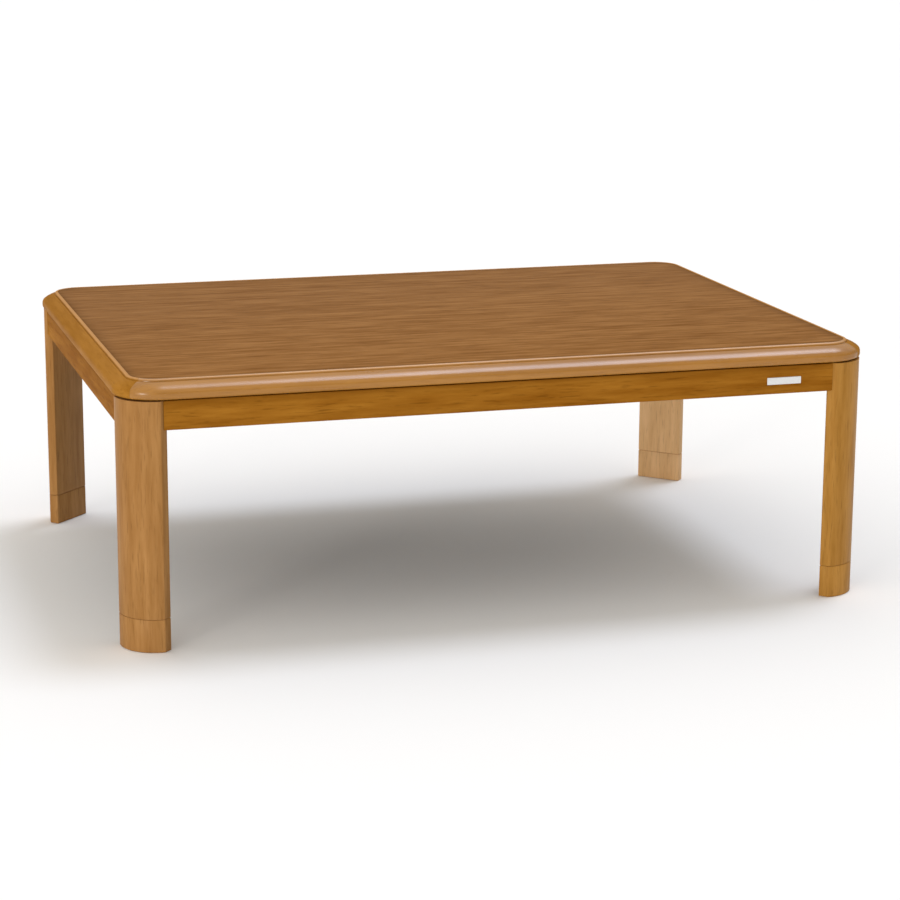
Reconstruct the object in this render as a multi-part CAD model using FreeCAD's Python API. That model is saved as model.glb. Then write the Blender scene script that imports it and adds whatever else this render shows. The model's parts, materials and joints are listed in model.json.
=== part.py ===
import FreeCAD, Part
import math
import os

from FreeCAD import Vector

os.makedirs("parts", exist_ok=True)

# A low heated table. A top with a solid wood rim lies loose on a wooden frame.
# Four corner legs with pull-off extension feet carry the frame, and a quartz
# heater unit with a small fan hangs in the middle of it.
# Millimetres, +Z up. The origin is on the floor under the middle of the table.
# X runs along the length, Y towards the back.

# Whole table
table_length = 1050.0
table_depth = 750.0
foot_height = 45.0
leg_height = 291.0
top_thickness = 24.5

# Clearances and cuts
fixed_clearance = 0.1        # round a fastener or dowel in its hole
running_clearance = 0.05     # round a pin or shaft that slides or turns
side_gap = 0.3               # between neighbours that don't touch
overrun = 5.0                # how far a cutting body runs past the faces it cuts

# Top: outline and rim moulding
top_corner_radius = 58.0
top_overhang = 2.5           # the top stands out past the legs
rim_width = 24.0
panel_corner_radius = 34.0
groove_size = 0.6            # small bevel each side of the joint of panel and rim
bead_width = 5.2             # narrow bead beside the panel
bead_radius = 3.0
bead_step = 3.6              # from the top surface down to the sloping band
band_angle = 22.0            # degrees below level
nose_radius = 9.0            # upper round of the outer edge
under_radius = 5.0           # lower round of the outer edge
rim_dowel_radius = 3.0
rim_dowel_length = 30.0
rim_dowel_drop = 14.0        # below the top surface

# Top: hollow panel
face_sheet = 4.0
under_sheet = 3.0
batten_width = 40.0
cross_battens = 3            # between the two at the ends

# Frame
pad_gap = 1.5                # between the frame and the top, kept by the pads
pad_radius = 6.0
pad_recess = 1.0
pad_long_share = 0.58        # of half the length, for the pads on the long sides
pad_short_share = 0.50       # of half the depth, for the pads on the short sides
apron_height = 39.0
apron_thickness = 18.0
apron_recess = 3.5           # behind the outer face of the legs
apron_end_gap = 0.6          # the dark line between apron and leg

# Legs and feet
leg_radius = 49.5            # outer face of the leg, a little sharper than the top's corner
leg_flat = 2.1               # straight stretch from the round to the end face
leg_end_thickness = 14.0
leg_edge_radius = 1.5
foot_edge_bevel = 0.9        # the two bevels make the groove above the foot
foot_base_bevel = 0.8
peg_radius = 5.0
peg_in_foot = 25.0
peg_in_leg = 24.0
insert_radius = 8.0
insert_length = 28.0
socket_centre_share = 0.5    # of the leg's thickness on the diagonal
glide_radius = 9.0
glide_thickness = 3.0
glide_proud = 0.5

# Corner blocks and leg bolts
block_depth = 50.0
block_margin = 2.5           # above and below the block
bolt_radius = 3.0
bolt_in_leg = 20.0
bolt_tail = 3.0              # thread past the nut
bolt_pitch = 17.0
washer_radius = 7.0
washer_thickness = 1.6
nut_radius = 5.8             # across corners
nut_thickness = 5.0
block_screw_radius = 2.0
block_screw_head_radius = 4.0
block_screw_head = 2.6
block_screw_length = 30.0
block_screw_in_apron = 12.0
block_screw_pitch = 17.0
block_screw_share = 0.5      # of the block's side against the apron

# Heater rails
rail_width = 20.0
rail_height = 28.0
rail_drop = 2.0              # below the top of the frame
frame_dowel_radius = 4.0
frame_dowel_in_apron = 12.0
frame_dowel_in_rail = 20.0
frame_dowel_pitch = 14.0
stretcher_dowel_in_rail = 10.0

# Badge plate
badge_length = 50.0
badge_height = 10.0
badge_thickness = 0.8
badge_corner_radius = 1.0
badge_from_right = 131.0     # plate middle to the right end of the table
badge_rise = 18.5            # plate middle above the lower edge of the apron

# Heater housing and reflector
housing_size = 290.0
housing_height = 25.0
housing_sheet = 1.2
housing_side_gap = 7.0       # to the rails
housing_flange = 25.0
control_width = 46.0         # electrical compartment at the right end
reflector_sheet = 0.8
reflector_height = 14.0
spacer_height = 8.0
spacer_radius = 4.0
spacer_inset = 22.0

# Guard and control cover under the housing
tray_height = 31.0
tray_wall = 2.5
tray_lip = 10.0
guard_slot_length = 50.0
guard_slot_width = 9.0
guard_bar = 3.5
guard_cross_bar = 6.0

# Quartz tubes
tube_radius = 6.0
tube_wall = 1.0
tube_end_gap = 15.8          # from the housing's wall and the compartment to the tubes
tube_side_inset = 57.0       # from the housing's front and back to the tubes' axes
tube_drop = 13.0             # tube axis below the rails
cap_length = 16.0
cap_size = 20.0
cap_over_tube = 12.0
element_radius = 1.5
element_past_cap = 3.0       # the link between the tubes runs here
bracket_sheet = 1.2
bracket_width = 12.0
bracket_foot = 10.0
lead_hole_radius = 4.0

# Electrical parts
terminal_length = 20.0
terminal_width = 24.0
terminal_above_lead = 6.0
terminal_gap = 3.0           # from the compartment wall
board_length = 62.0
board_width = 34.0
board_front_share = 0.2      # of the room left between the terminals, before the board
board_inlet_share = 1 / 3    # of that room, between the board and the inlet
board_sheet = 1.6
board_height = 20.0          # posts under the board
post_radius = 3.0
post_inset = 5.0
relay_length = 22.0
relay_width = 16.0
relay_pitch = 31.0
relay_height = 14.0
inlet_width = 30.0
inlet_height = 20.0
inlet_depth = 27.0
inlet_wall = 3.0
inlet_floor = 8.0
inlet_proud = 2.0
inlet_rise = 3.0             # above the floor of the cover
inlet_pin_radius = 2.0
inlet_pin_length = 14.0
inlet_pin_pitch = 12.0
thermostat_radius = 8.0
thermostat_height = 8.0
thermostat_reach = 70.0      # from the fan's axis

lead_radius = 1.0
lead_pitch = 3.0             # between neighbouring leads
inlet_lead_reach = 3.0       # straight out of the inlet before the first bend
outlet_lead_drop = 3.0       # heater leads below the level of the inlet leads
motor_lead_share = 0.5       # of the gap between housing and reflector

# Fan
motor_radius = 30.0
motor_height = 20.0
motor_hole_gap = 2.0
shaft_radius = 2.0
shaft_in_motor = 14.0
shaft_below_motor = 13.0
hub_radius = 12.0
hub_height = 9.0
hub_gap = 3.5                # motor to hub
blade_reach = 45.0
blade_width = 14.0
blade_sheet = 1.4
blade_pitch = 32.0           # degrees
blade_count = 7
blade_root = 2.0             # sunk in the hub

# Heater screws
heater_screw_radius = 1.75
heater_screw_head_radius = 3.4
heater_screw_head = 2.2
heater_screw_length = 14.0
guard_screw_length = 7.0
guard_screw_inset = 4.5      # from the tray's wall out to the screw
rail_screw_share = 0.5       # of half the housing, from its middle
guard_screw_share = 0.72     # of half the housing, from its middle

# Levels
frame_top = foot_height + leg_height
top_bottom = frame_top + pad_gap
top_surface = top_bottom + top_thickness
apron_bottom = frame_top - apron_height
rail_top = frame_top - rail_drop
rail_bottom = rail_top - rail_height
housing_top = rail_bottom + housing_height
flange_bottom = rail_bottom - housing_sheet
tray_bottom = flange_bottom - tray_height
tube_height = rail_bottom - tube_drop
reflector_top = housing_top - housing_sheet - spacer_height

# Places
half_length = table_length / 2
half_depth = table_depth / 2
frame_half_length = half_length - top_overhang
frame_half_depth = half_depth - top_overhang
leg_setback = leg_radius + leg_flat
diagonal = math.sqrt(2)
leg_inner_plane = leg_setback / diagonal + leg_end_thickness
leg_outer_diagonal = leg_radius * (diagonal - 1)
leg_thickness = leg_inner_plane - leg_outer_diagonal
socket_diagonal = leg_outer_diagonal + leg_thickness * socket_centre_share
socket_centre = socket_diagonal / diagonal
apron_inner = apron_recess + apron_thickness
block_inner_plane = leg_inner_plane + block_depth
rail_inner = housing_size / 2 + housing_side_gap
rail_outer = rail_inner + rail_width
housing_half = housing_size / 2
flange_half = housing_half + housing_flange
housing_inner = housing_half - housing_sheet
divider = housing_inner - control_width
heat_middle = (divider - housing_inner) / 2
tray_outer = housing_half
tray_half = tray_outer + tray_lip
control_left = divider + side_gap
guard_right = divider - side_gap
tray_floor = tray_bottom + tray_wall
tube_length = housing_inner + divider - 2 * tube_end_gap
tube_offset = housing_half - tube_side_inset
terminal_inner = tube_offset - terminal_width / 2
compartment_room = 2 * terminal_inner - board_length - inlet_width
board_front = compartment_room * board_front_share - terminal_inner
board_back = board_front + board_length
inlet_middle = board_back + compartment_room * board_inlet_share + inlet_width / 2

UP = Vector(0, 0, 1)
RIGHT = Vector(1, 0, 0)
BACK = Vector(0, 1, 0)
INWARD = Vector(1, 1, 0)
ORIGIN = Vector(0, 0, 0)

CORNERS = {
    "front_left": (-1, -1),
    "front_right": (1, -1),
    "back_left": (-1, 1),
    "back_right": (1, 1),
}


def save(name, solids):
    """Write one sub-part, as one solid or as a group of separate solids."""
    shape = solids if isinstance(solids, Part.Shape) else Part.makeCompound(solids)
    shape.exportStep("parts/" + name + ".step")


def block(x0, x1, y0, y1, z0, z1):
    """A plain box between two corners."""
    return Part.makeBox(x1 - x0, y1 - y0, z1 - z0, Vector(x0, y0, z0))


def prism(points, z0, z1):
    """An upright prism over a polygon of (x, y) points."""
    corners = [Vector(x, y, z0) for x, y in points]
    face = Part.Face(Part.makePolygon(corners + corners[:1]))
    return face.extrude(UP * (z1 - z0))


def rounded_outline(length, depth, radius, z):
    """A closed outline of four straight lines and four quarter rounds."""
    x = length / 2
    y = depth / 2
    edges = []
    for turn, (sx, sy) in enumerate(((1, 1), (-1, 1), (-1, -1), (1, -1))):
        centre = Vector(sx * (x - radius), sy * (y - radius), z)
        quarter = Part.makeCircle(radius, centre, UP, turn * 90, turn * 90 + 90)
        edges.append(quarter)
    lines = []
    for here, there in zip(edges, edges[1:] + edges[:1]):
        lines.append(Part.makeLine(here.Vertexes[-1].Point, there.Vertexes[0].Point))
    path = [edge for pair in zip(edges, lines) for edge in pair]
    return Part.Wire(path)


def rounded_slab(length, depth, radius, z0, z1):
    """A plate with rounded corners."""
    outline = rounded_outline(length, depth, radius, z0)
    return Part.Face(outline).extrude(UP * (z1 - z0))


def at_corner(shape, sx, sy):
    """Move a shape made at the front left leg's outer corner to corner sx, sy."""
    placed = shape.translated(Vector(-frame_half_length, -frame_half_depth, 0))
    if sx > 0:
        placed = placed.mirror(ORIGIN, RIGHT)
    if sy > 0:
        placed = placed.mirror(ORIGIN, BACK)
    return placed


def at_corners(shape):
    """The same shape at all four corners."""
    return [at_corner(shape, sx, sy) for sx, sy in CORNERS.values()]


def tube(outer, inner, base, direction, length):
    """A round tube."""
    body = Part.makeCylinder(outer, length, base, direction)
    bore = Part.makeCylinder(inner, length, base, direction)
    return body.cut(bore)


def screw(head_radius, head, shank_radius, length, seat, direction):
    """A pan head screw. Its head sits on seat, and it points along direction."""
    tip = shank_radius * 2
    head_base = seat - direction * head
    shape = Part.makeCylinder(head_radius, head, head_base, direction)
    shape = shape.fuse(Part.makeCylinder(shank_radius, length - tip, seat, direction))
    tip_base = seat + direction * (length - tip)
    shape = shape.fuse(Part.makeCone(shank_radius, 0, tip, tip_base, direction))
    return shape.removeSplitter()


def edges_at(shape, height):
    """The edges of a shape that lie level at one height."""
    found = []
    for edge in shape.Edges:
        box = edge.BoundBox
        level = max(abs(box.ZMin - height), abs(box.ZMax - height))
        if level < running_clearance:
            found.append(edge)
    return found


def upright_edges_at(shape, places):
    """The upright edges of a shape over the given (x, y) places."""
    found = []
    for edge in shape.Edges:
        box = edge.BoundBox
        upright = max(box.XLength, box.YLength) < running_clearance
        if not upright:
            continue
        for x, y in places:
            if math.hypot(box.Center.x - x, box.Center.y - y) < running_clearance:
                found.append(edge)
    return found


# Top

def rim_slope(inset):
    """Height of the sloping band below the top surface, at an inset from the outer edge."""
    return bead_step + (rim_width - bead_width - inset) * math.tan(math.radians(band_angle))


def nose_section():
    """Rim section without the bead, as a face at the front edge of the top."""
    angle = math.radians(band_angle)
    reach = rim_width + bead_width
    foot_inset = rim_width - bead_width
    nose_inset = nose_radius * (1 - math.sin(angle))
    nose_top = rim_slope(nose_inset)
    nose_centre = nose_top + nose_radius * math.cos(angle)
    middle = (math.pi / 2 - angle) / 2

    def at(inset, drop):
        return Vector(0, -half_depth + inset, top_surface - drop)

    nose_middle_inset = nose_radius * (1 - math.cos(middle))
    nose_middle_drop = nose_centre - nose_radius * math.sin(middle)
    under_middle_inset = under_radius * (1 - math.cos(math.pi / 4))
    under_middle_drop = top_thickness - under_radius * (1 - math.sin(math.pi / 4))
    level = Part.makeLine(at(reach, bead_step), at(foot_inset, bead_step))
    band = Part.makeLine(at(foot_inset, bead_step), at(nose_inset, nose_top))
    nose = Part.Arc(at(nose_inset, nose_top), at(nose_middle_inset, nose_middle_drop),
                    at(0, nose_centre)).toShape()
    side = Part.makeLine(at(0, nose_centre), at(0, top_thickness - under_radius))
    under = Part.Arc(at(0, top_thickness - under_radius),
                     at(under_middle_inset, under_middle_drop),
                     at(under_radius, top_thickness)).toShape()
    base = Part.makeLine(at(under_radius, top_thickness), at(reach, top_thickness))
    back = Part.makeLine(at(reach, top_thickness), at(reach, bead_step))
    return Part.Wire([level, band, nose, side, under, base, back])


def bead_section():
    """Section of the bead beside the panel, at the front edge of the panel."""
    def at(out, drop):
        return Vector(0, -half_depth + rim_width - out, top_surface - drop)

    arc_middle = bead_radius * math.sin(math.pi / 4)
    bead_foot = top_thickness - under_radius
    inner = Part.makeLine(at(-bead_width, bead_foot), at(-bead_width, groove_size))
    level = Part.makeLine(at(-bead_width, groove_size), at(0, groove_size))
    groove = Part.makeLine(at(0, groove_size), at(groove_size, 0))
    crown = Part.makeLine(at(groove_size, 0), at(bead_width - bead_radius, 0))
    middle = at(bead_width - bead_radius + arc_middle, bead_radius - arc_middle)
    turn = Part.Arc(at(bead_width - bead_radius, 0), middle,
                    at(bead_width, bead_radius)).toShape()
    outer = Part.makeLine(at(bead_width, bead_radius), at(bead_width, bead_foot))
    base = Part.makeLine(at(bead_width, bead_foot), at(-bead_width, bead_foot))
    return Part.Wire([inner, level, groove, crown, turn, outer, base])


def ring(section, length, depth, radius):
    """A section carried round a rounded outline."""
    path = rounded_outline(length, depth, radius, top_surface)
    return path.makePipeShell([section], True, False)


def panel_slab(z0, z1):
    """The panel's outline as a plate."""
    length = table_length - 2 * rim_width
    depth = table_depth - 2 * rim_width
    return rounded_slab(length, depth, panel_corner_radius, z0, z1)


def rim_dowel(sx, sy, radius, length):
    """A round dowel across the mitre of one rim corner."""
    outer = top_corner_radius * (1 - 1 / diagonal)
    inner = rim_width + panel_corner_radius * (1 - 1 / diagonal)
    inset = (outer + inner) / 2
    middle = Vector(sx * (half_length - inset), sy * (half_depth - inset),
                    top_surface - rim_dowel_drop)
    across = Vector(sx, -sy, 0) / diagonal
    return Part.makeCylinder(radius, length, middle - across * (length / 2), across)


def rim_ring():
    """The whole rim before it is split at the mitres."""
    nose = ring(nose_section(), table_length, table_depth, top_corner_radius)
    bead_length = table_length - 2 * rim_width
    bead_depth = table_depth - 2 * rim_width
    bead = ring(bead_section(), bead_length, bead_depth, panel_corner_radius)
    panel = panel_slab(top_bottom - overrun, top_surface + overrun)
    rim = nose.fuse(bead).cut(panel).removeSplitter()
    hole_radius = rim_dowel_radius + fixed_clearance
    hole_length = rim_dowel_length + 2 * fixed_clearance
    holes = [rim_dowel(sx, sy, hole_radius, hole_length) for sx, sy in CORNERS.values()]
    return rim.cut(holes)


def rim_wedge(side):
    """The part of the plane that belongs to one rim moulding, cut at the mitres."""
    reach = rim_width + panel_corner_radius
    out_x = half_length + overrun
    out_y = half_depth + overrun
    in_x = half_length - reach
    in_y = half_depth - reach
    points = {
        "front": ((-out_x, -out_y), (out_x, -out_y), (in_x, -in_y), (-in_x, -in_y)),
        "back": ((-out_x, out_y), (out_x, out_y), (in_x, in_y), (-in_x, in_y)),
        "left": ((-out_x, -out_y), (-out_x, out_y), (-in_x, in_y), (-in_x, -in_y)),
        "right": ((out_x, -out_y), (out_x, out_y), (in_x, in_y), (in_x, -in_y)),
    }
    return prism(points[side], top_bottom - overrun, top_surface + overrun)


def make_rim():
    """Four mitred mouldings and the dowels in their corners."""
    rim = rim_ring()
    for side in ("front", "back", "left", "right"):
        save("rim_" + side, rim.common(rim_wedge(side)))
    dowels = [rim_dowel(sx, sy, rim_dowel_radius, rim_dowel_length)
              for sx, sy in CORNERS.values()]
    save("rim_dowels", dowels)


def make_panel():
    """Veneered face sheet, core battens and lower sheet."""
    face = panel_slab(top_surface - face_sheet, top_surface)
    face = face.makeChamfer(groove_size, edges_at(face, top_surface))
    save("top_face_sheet", face)
    save("top_under_sheet", panel_slab(top_bottom, top_bottom + under_sheet))
    z0 = top_bottom + under_sheet
    z1 = top_surface - face_sheet
    x = half_length - rim_width - panel_corner_radius
    y = half_depth - rim_width
    battens = []
    for side in (-1, 1):
        y_edges = sorted((side * y, side * (y - batten_width)))
        battens.append(block(-x, x, y_edges[0], y_edges[1], z0, z1))
    span = table_length - 2 * rim_width - batten_width
    for index in range(cross_battens + 2):
        middle = -span / 2 + span * index / (cross_battens + 1)
        at_end = index in (0, cross_battens + 1)
        reach = y - max(batten_width, panel_corner_radius if at_end else 0)
        battens.append(block(middle - batten_width / 2, middle + batten_width / 2,
                             -reach, reach, z0, z1))
    save("top_core_battens", battens)


# Frame

def pad_places():
    """Where the anti-slip pads sit on the aprons."""
    long_x = half_length * pad_long_share
    long_y = frame_half_depth - apron_recess - apron_thickness / 2
    short_x = frame_half_length - apron_recess - apron_thickness / 2
    short_y = half_depth * pad_short_share
    places = []
    for sx, sy in CORNERS.values():
        places.append((sx * long_x, sy * long_y))
        places.append((sx * short_x, sy * short_y))
    return places


def pad(x, y, radius):
    """A round pad, or its recess, on top of the frame."""
    base = Vector(x, y, frame_top - pad_recess)
    return Part.makeCylinder(radius, pad_recess + pad_gap, base, UP)


def frame_dowel_holes(grow):
    """Dowels from the aprons into the rails, and from the rails into the stretchers."""
    radius = frame_dowel_radius + grow
    apron_face = frame_half_depth - apron_inner
    middle = (rail_top + rail_bottom) / 2
    dowels = []
    for sx, sy in CORNERS.values():
        for lift in (-frame_dowel_pitch / 2, frame_dowel_pitch / 2):
            x = sx * (rail_inner + rail_width / 2)
            start = sy * (apron_face + frame_dowel_in_apron + grow)
            length = frame_dowel_in_apron + frame_dowel_in_rail + 2 * grow
            base = Vector(x, start, middle + lift)
            dowels.append(Part.makeCylinder(radius, length, base, BACK * -sy))
            y = sy * (rail_inner + rail_width / 2)
            start = sx * (rail_inner + stretcher_dowel_in_rail + grow)
            length = stretcher_dowel_in_rail + frame_dowel_in_rail + 2 * grow
            base = Vector(start, y, middle + lift)
            dowels.append(Part.makeCylinder(radius, length, base, RIGHT * -sx))
    return dowels


def block_screw_seats():
    """Heads of the screws that hold a corner block to its two aprons, as (seat, direction)."""
    side_start = leg_setback + apron_inner
    side_end = block_inner_plane * diagonal - apron_inner
    along = side_start + (side_end - side_start) * block_screw_share
    inward = apron_inner + block_screw_length - block_screw_in_apron
    middle = frame_top - apron_height / 2
    seats = []
    for lift in (-block_screw_pitch / 2, block_screw_pitch / 2):
        seats.append((Vector(along, inward, middle + lift), BACK * -1))
        seats.append((Vector(inward, along, middle + lift), RIGHT * -1))
    return seats


def block_screw_cuts():
    """Holes for those screws, open towards the middle of the table."""
    cuts = []
    for seat, direction in block_screw_seats():
        shank = block_screw_radius + fixed_clearance
        head = block_screw_head_radius + fixed_clearance
        cuts.append(Part.makeCylinder(shank, block_screw_length + fixed_clearance, seat, direction))
        cuts.append(Part.makeCylinder(head, block_depth, seat, direction * -1))
    return cuts


def bolt_heights():
    """Heights of the two bolts of a leg."""
    middle = frame_top - apron_height / 2
    return (middle - bolt_pitch / 2, middle + bolt_pitch / 2)


def on_diagonal(distance, height):
    """A point on a leg's diagonal, at a distance from the leg's outer corner."""
    return Vector(distance / diagonal, distance / diagonal, height)


def bolt_cuts():
    """Bolt holes through block and leg."""
    cuts = []
    start = leg_inner_plane - bolt_in_leg - fixed_clearance
    end = block_inner_plane + overrun
    for height in bolt_heights():
        cuts.append(Part.makeCylinder(bolt_radius + fixed_clearance, end - start,
                                      on_diagonal(start, height), INWARD))
    return cuts


def apron_side(along_x):
    """One apron in corner coordinates: mitred ends beside the leg's end faces."""
    end = leg_setback + apron_end_gap * diagonal
    full = 2 * (frame_half_length if along_x else frame_half_depth)
    points = ((end + apron_recess, apron_recess), (end + apron_inner, apron_inner),
              (full - end - apron_inner, apron_inner), (full - end - apron_recess, apron_recess))
    if not along_x:
        points = [(y, x) for x, y in points]
    return prism(points, apron_bottom, frame_top)


def make_frame():
    """Aprons, corner blocks with their screws, pads, and the blank badge plate."""
    pads = [pad(x, y, pad_radius) for x, y in pad_places()]
    pad_cuts = [pad(x, y, pad_radius + fixed_clearance) for x, y in pad_places()]
    screw_cuts = [cut for tool in block_screw_cuts() for cut in at_corners(tool)]
    cuts = pad_cuts + screw_cuts + frame_dowel_holes(fixed_clearance)
    front = at_corner(apron_side(True), -1, -1).cut(cuts)
    back = at_corner(apron_side(True), -1, 1).cut(cuts)
    left = at_corner(apron_side(False), -1, -1).cut(cuts)
    right = at_corner(apron_side(False), 1, -1).cut(cuts)
    save("apron_front", front)
    save("apron_back", back)
    save("apron_left", left)
    save("apron_right", right)
    save("anti_slip_pads", pads)

    near = leg_inner_plane * diagonal
    far = block_inner_plane * diagonal
    start = (near + leg_setback) / 2
    bend = leg_setback + apron_inner
    points = ((start, near - start), (bend, apron_inner), (far - apron_inner, apron_inner),
              (apron_inner, far - apron_inner), (apron_inner, bend), (near - start, start))
    body = prism(points, apron_bottom + block_margin, frame_top - block_margin)
    body = body.cut(block_screw_cuts() + bolt_cuts())
    save("corner_blocks", at_corners(body))

    screws = []
    for seat, direction in block_screw_seats():
        screws.append(screw(block_screw_head_radius, block_screw_head, block_screw_radius,
                            block_screw_length, seat, direction))
    save("corner_block_screws", [placed for one in screws for placed in at_corners(one)])

    plate = rounded_slab(badge_length, badge_height, badge_corner_radius, 0, badge_thickness)
    plate.rotate(ORIGIN, RIGHT, 90)
    face = -frame_half_depth + apron_recess
    plate.translate(Vector(half_length - badge_from_right, face, apron_bottom + badge_rise))
    save("badge_plate", plate)


def make_rails():
    """Two rails and two stretchers that carry the heater, and their dowels."""
    apron_face = frame_half_depth - apron_inner
    cuts = frame_dowel_holes(fixed_clearance) + heater_screw_shanks(fixed_clearance)
    for name, side in (("left", -1), ("right", 1)):
        x0, x1 = sorted((side * rail_inner, side * rail_outer))
        rail = block(x0, x1, -apron_face, apron_face, rail_bottom, rail_top)
        save("heater_rail_" + name, rail.cut(cuts))
    stretchers = []
    for side in (-1, 1):
        y0, y1 = sorted((side * rail_inner, side * rail_outer))
        stretcher = block(-rail_inner, rail_inner, y0, y1, rail_bottom, rail_top)
        stretchers.append(stretcher.cut(cuts))
    save("heater_stretchers", stretchers)
    save("frame_dowels", frame_dowel_holes(0))


# Legs and feet

def leg_section(z0, z1):
    """Leg section in corner coordinates: round outside, flat inside, square ends."""
    r = leg_radius
    c = leg_setback
    t = leg_end_thickness / diagonal
    mid = r * (1 - 1 / diagonal)

    def at(x, y):
        return Vector(x, y, z0)

    edges = [
        Part.makeLine(at(c, 0), at(r, 0)),
        Part.Arc(at(r, 0), at(mid, mid), at(0, r)).toShape(),
        Part.makeLine(at(0, r), at(0, c)),
        Part.makeLine(at(0, c), at(t, c + t)),
        Part.makeLine(at(t, c + t), at(c + t, t)),
        Part.makeLine(at(c + t, t), at(c, 0)),
    ]
    body = Part.Face(Part.Wire(edges)).extrude(UP * (z1 - z0))
    corners = ((c, 0), (0, c), (t, c + t), (c + t, t))
    return body.makeFillet(leg_edge_radius, upright_edges_at(body, corners))


def make_legs():
    """Legs, their bolts with washers and nuts, and the socket inserts."""
    leg = leg_section(foot_height, frame_top)
    leg = leg.makeChamfer(foot_edge_bevel, edges_at(leg, foot_height))
    socket_base = Vector(socket_centre, socket_centre, foot_height)
    socket = Part.makeCylinder(insert_radius + fixed_clearance,
                               insert_length + fixed_clearance, socket_base, UP)
    leg = leg.cut(bolt_cuts() + [socket])
    for name, (sx, sy) in CORNERS.items():
        save("leg_" + name, at_corner(leg, sx, sy))

    insert = tube(insert_radius, peg_radius + running_clearance, socket_base, UP, insert_length)
    save("leg_socket_inserts", at_corners(insert))

    bolts = []
    washers = []
    nuts = []
    start = leg_inner_plane - bolt_in_leg
    washer_start = block_inner_plane
    nut_start = washer_start + washer_thickness
    end = nut_start + nut_thickness + bolt_tail
    inward = INWARD / diagonal
    for height in bolt_heights():
        bolts.append(Part.makeCylinder(bolt_radius, end - start,
                                       on_diagonal(start, height), INWARD))
        washers.append(tube(washer_radius, bolt_radius + fixed_clearance,
                            on_diagonal(washer_start, height), INWARD, washer_thickness))
        hexagon = []
        for step in range(6):
            angle = math.radians(60 * step)
            side = Vector(-1, 1, 0) / diagonal * (nut_radius * math.cos(angle))
            hexagon.append(on_diagonal(nut_start, height) + side
                           + UP * (nut_radius * math.sin(angle)))
        face = Part.Face(Part.makePolygon(hexagon + hexagon[:1]))
        nut = face.extrude(inward * nut_thickness)
        hole = Part.makeCylinder(bolt_radius + running_clearance, nut_thickness,
                                 on_diagonal(nut_start, height), INWARD)
        nuts.append(nut.cut(hole))
    save("leg_bolts", [placed for one in bolts for placed in at_corners(one)])
    save("leg_washers", [placed for one in washers for placed in at_corners(one)])
    save("leg_nuts", [placed for one in nuts for placed in at_corners(one)])


def make_feet():
    """Extension feet, each with the peg that holds it in the leg and a glide."""
    foot = leg_section(glide_proud, foot_height)
    foot = foot.makeChamfer(foot_edge_bevel, edges_at(foot, foot_height))
    foot = foot.makeChamfer(foot_base_bevel, edges_at(foot, glide_proud))
    peg_base = Vector(socket_centre, socket_centre, foot_height - peg_in_foot)
    glide_base = Vector(socket_centre, socket_centre, 0)
    peg_hole = Part.makeCylinder(peg_radius + fixed_clearance, peg_in_foot + overrun,
                                 peg_base, UP)
    glide_hole = Part.makeCylinder(glide_radius + fixed_clearance, glide_thickness,
                                   glide_base, UP)
    foot = foot.cut([peg_hole, glide_hole])
    peg = Part.makeCylinder(peg_radius, peg_in_foot + peg_in_leg, peg_base, UP)
    glide = Part.makeCylinder(glide_radius, glide_thickness, glide_base, UP)
    for name, (sx, sy) in CORNERS.items():
        save("foot_" + name, at_corner(foot, sx, sy))
        save("foot_peg_" + name, at_corner(peg, sx, sy))
        save("foot_glide_" + name, at_corner(glide, sx, sy))


# Heater unit

def rail_screw_places():
    """Screws through the housing's flange into rails and stretchers."""
    reach = rail_inner + rail_width / 2
    along = housing_half * rail_screw_share
    places = []
    for side in (-1, 1):
        for step in (-along, along):
            places.append((side * reach, step))
            places.append((step, side * reach))
    return places


def guard_screw_places():
    """Screws through the lips of guard and control cover into the housing's flange."""
    reach = tray_outer + guard_screw_inset
    along = housing_half * guard_screw_share
    control_middle = (divider + housing_half) / 2
    places = []
    for side in (-1, 1):
        places.append((-reach, side * along))
        places.append((reach, side * along))
        places.append((-along, side * reach))
        places.append((control_middle, side * reach))
    return places


def heater_screw_shanks(grow):
    """Shanks of the screws that go up into rails and stretchers."""
    radius = heater_screw_radius + grow
    length = heater_screw_length + grow
    return [Part.makeCylinder(radius, length, Vector(x, y, flange_bottom), UP)
            for x, y in rail_screw_places()]


def guard_screw_shanks(grow):
    """Shanks of the screws that hold the guard and the control cover."""
    radius = heater_screw_radius + grow
    length = guard_screw_length + grow
    seat = flange_bottom - tray_wall
    return [Part.makeCylinder(radius, length, Vector(x, y, seat), UP)
            for x, y in guard_screw_places()]


def make_heater_screws():
    """Long screws for the housing, and short ones for the guard and the control cover."""
    screws = []
    kinds = ((rail_screw_places(), flange_bottom, heater_screw_length),
             (guard_screw_places(), flange_bottom - tray_wall, guard_screw_length))
    for places, level, length in kinds:
        for x, y in places:
            screws.append(screw(heater_screw_head_radius, heater_screw_head, heater_screw_radius,
                                length, Vector(x, y, level), UP))
    save("heater_screws", screws)


def make_housing():
    """Pressed steel pan with an outward flange under the rails."""
    body = block(-housing_half, housing_half, -housing_half, housing_half,
                 flange_bottom, housing_top)
    flange = block(-flange_half, flange_half, -flange_half, flange_half,
                   flange_bottom, rail_bottom)
    hollow = block(-housing_inner, housing_inner, -housing_inner, housing_inner,
                   flange_bottom - overrun, housing_top - housing_sheet)
    shell = body.fuse(flange).cut(hollow).removeSplitter()
    holes = heater_screw_shanks(fixed_clearance) + guard_screw_shanks(fixed_clearance)
    save("heater_housing", shell.cut(holes))


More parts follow.
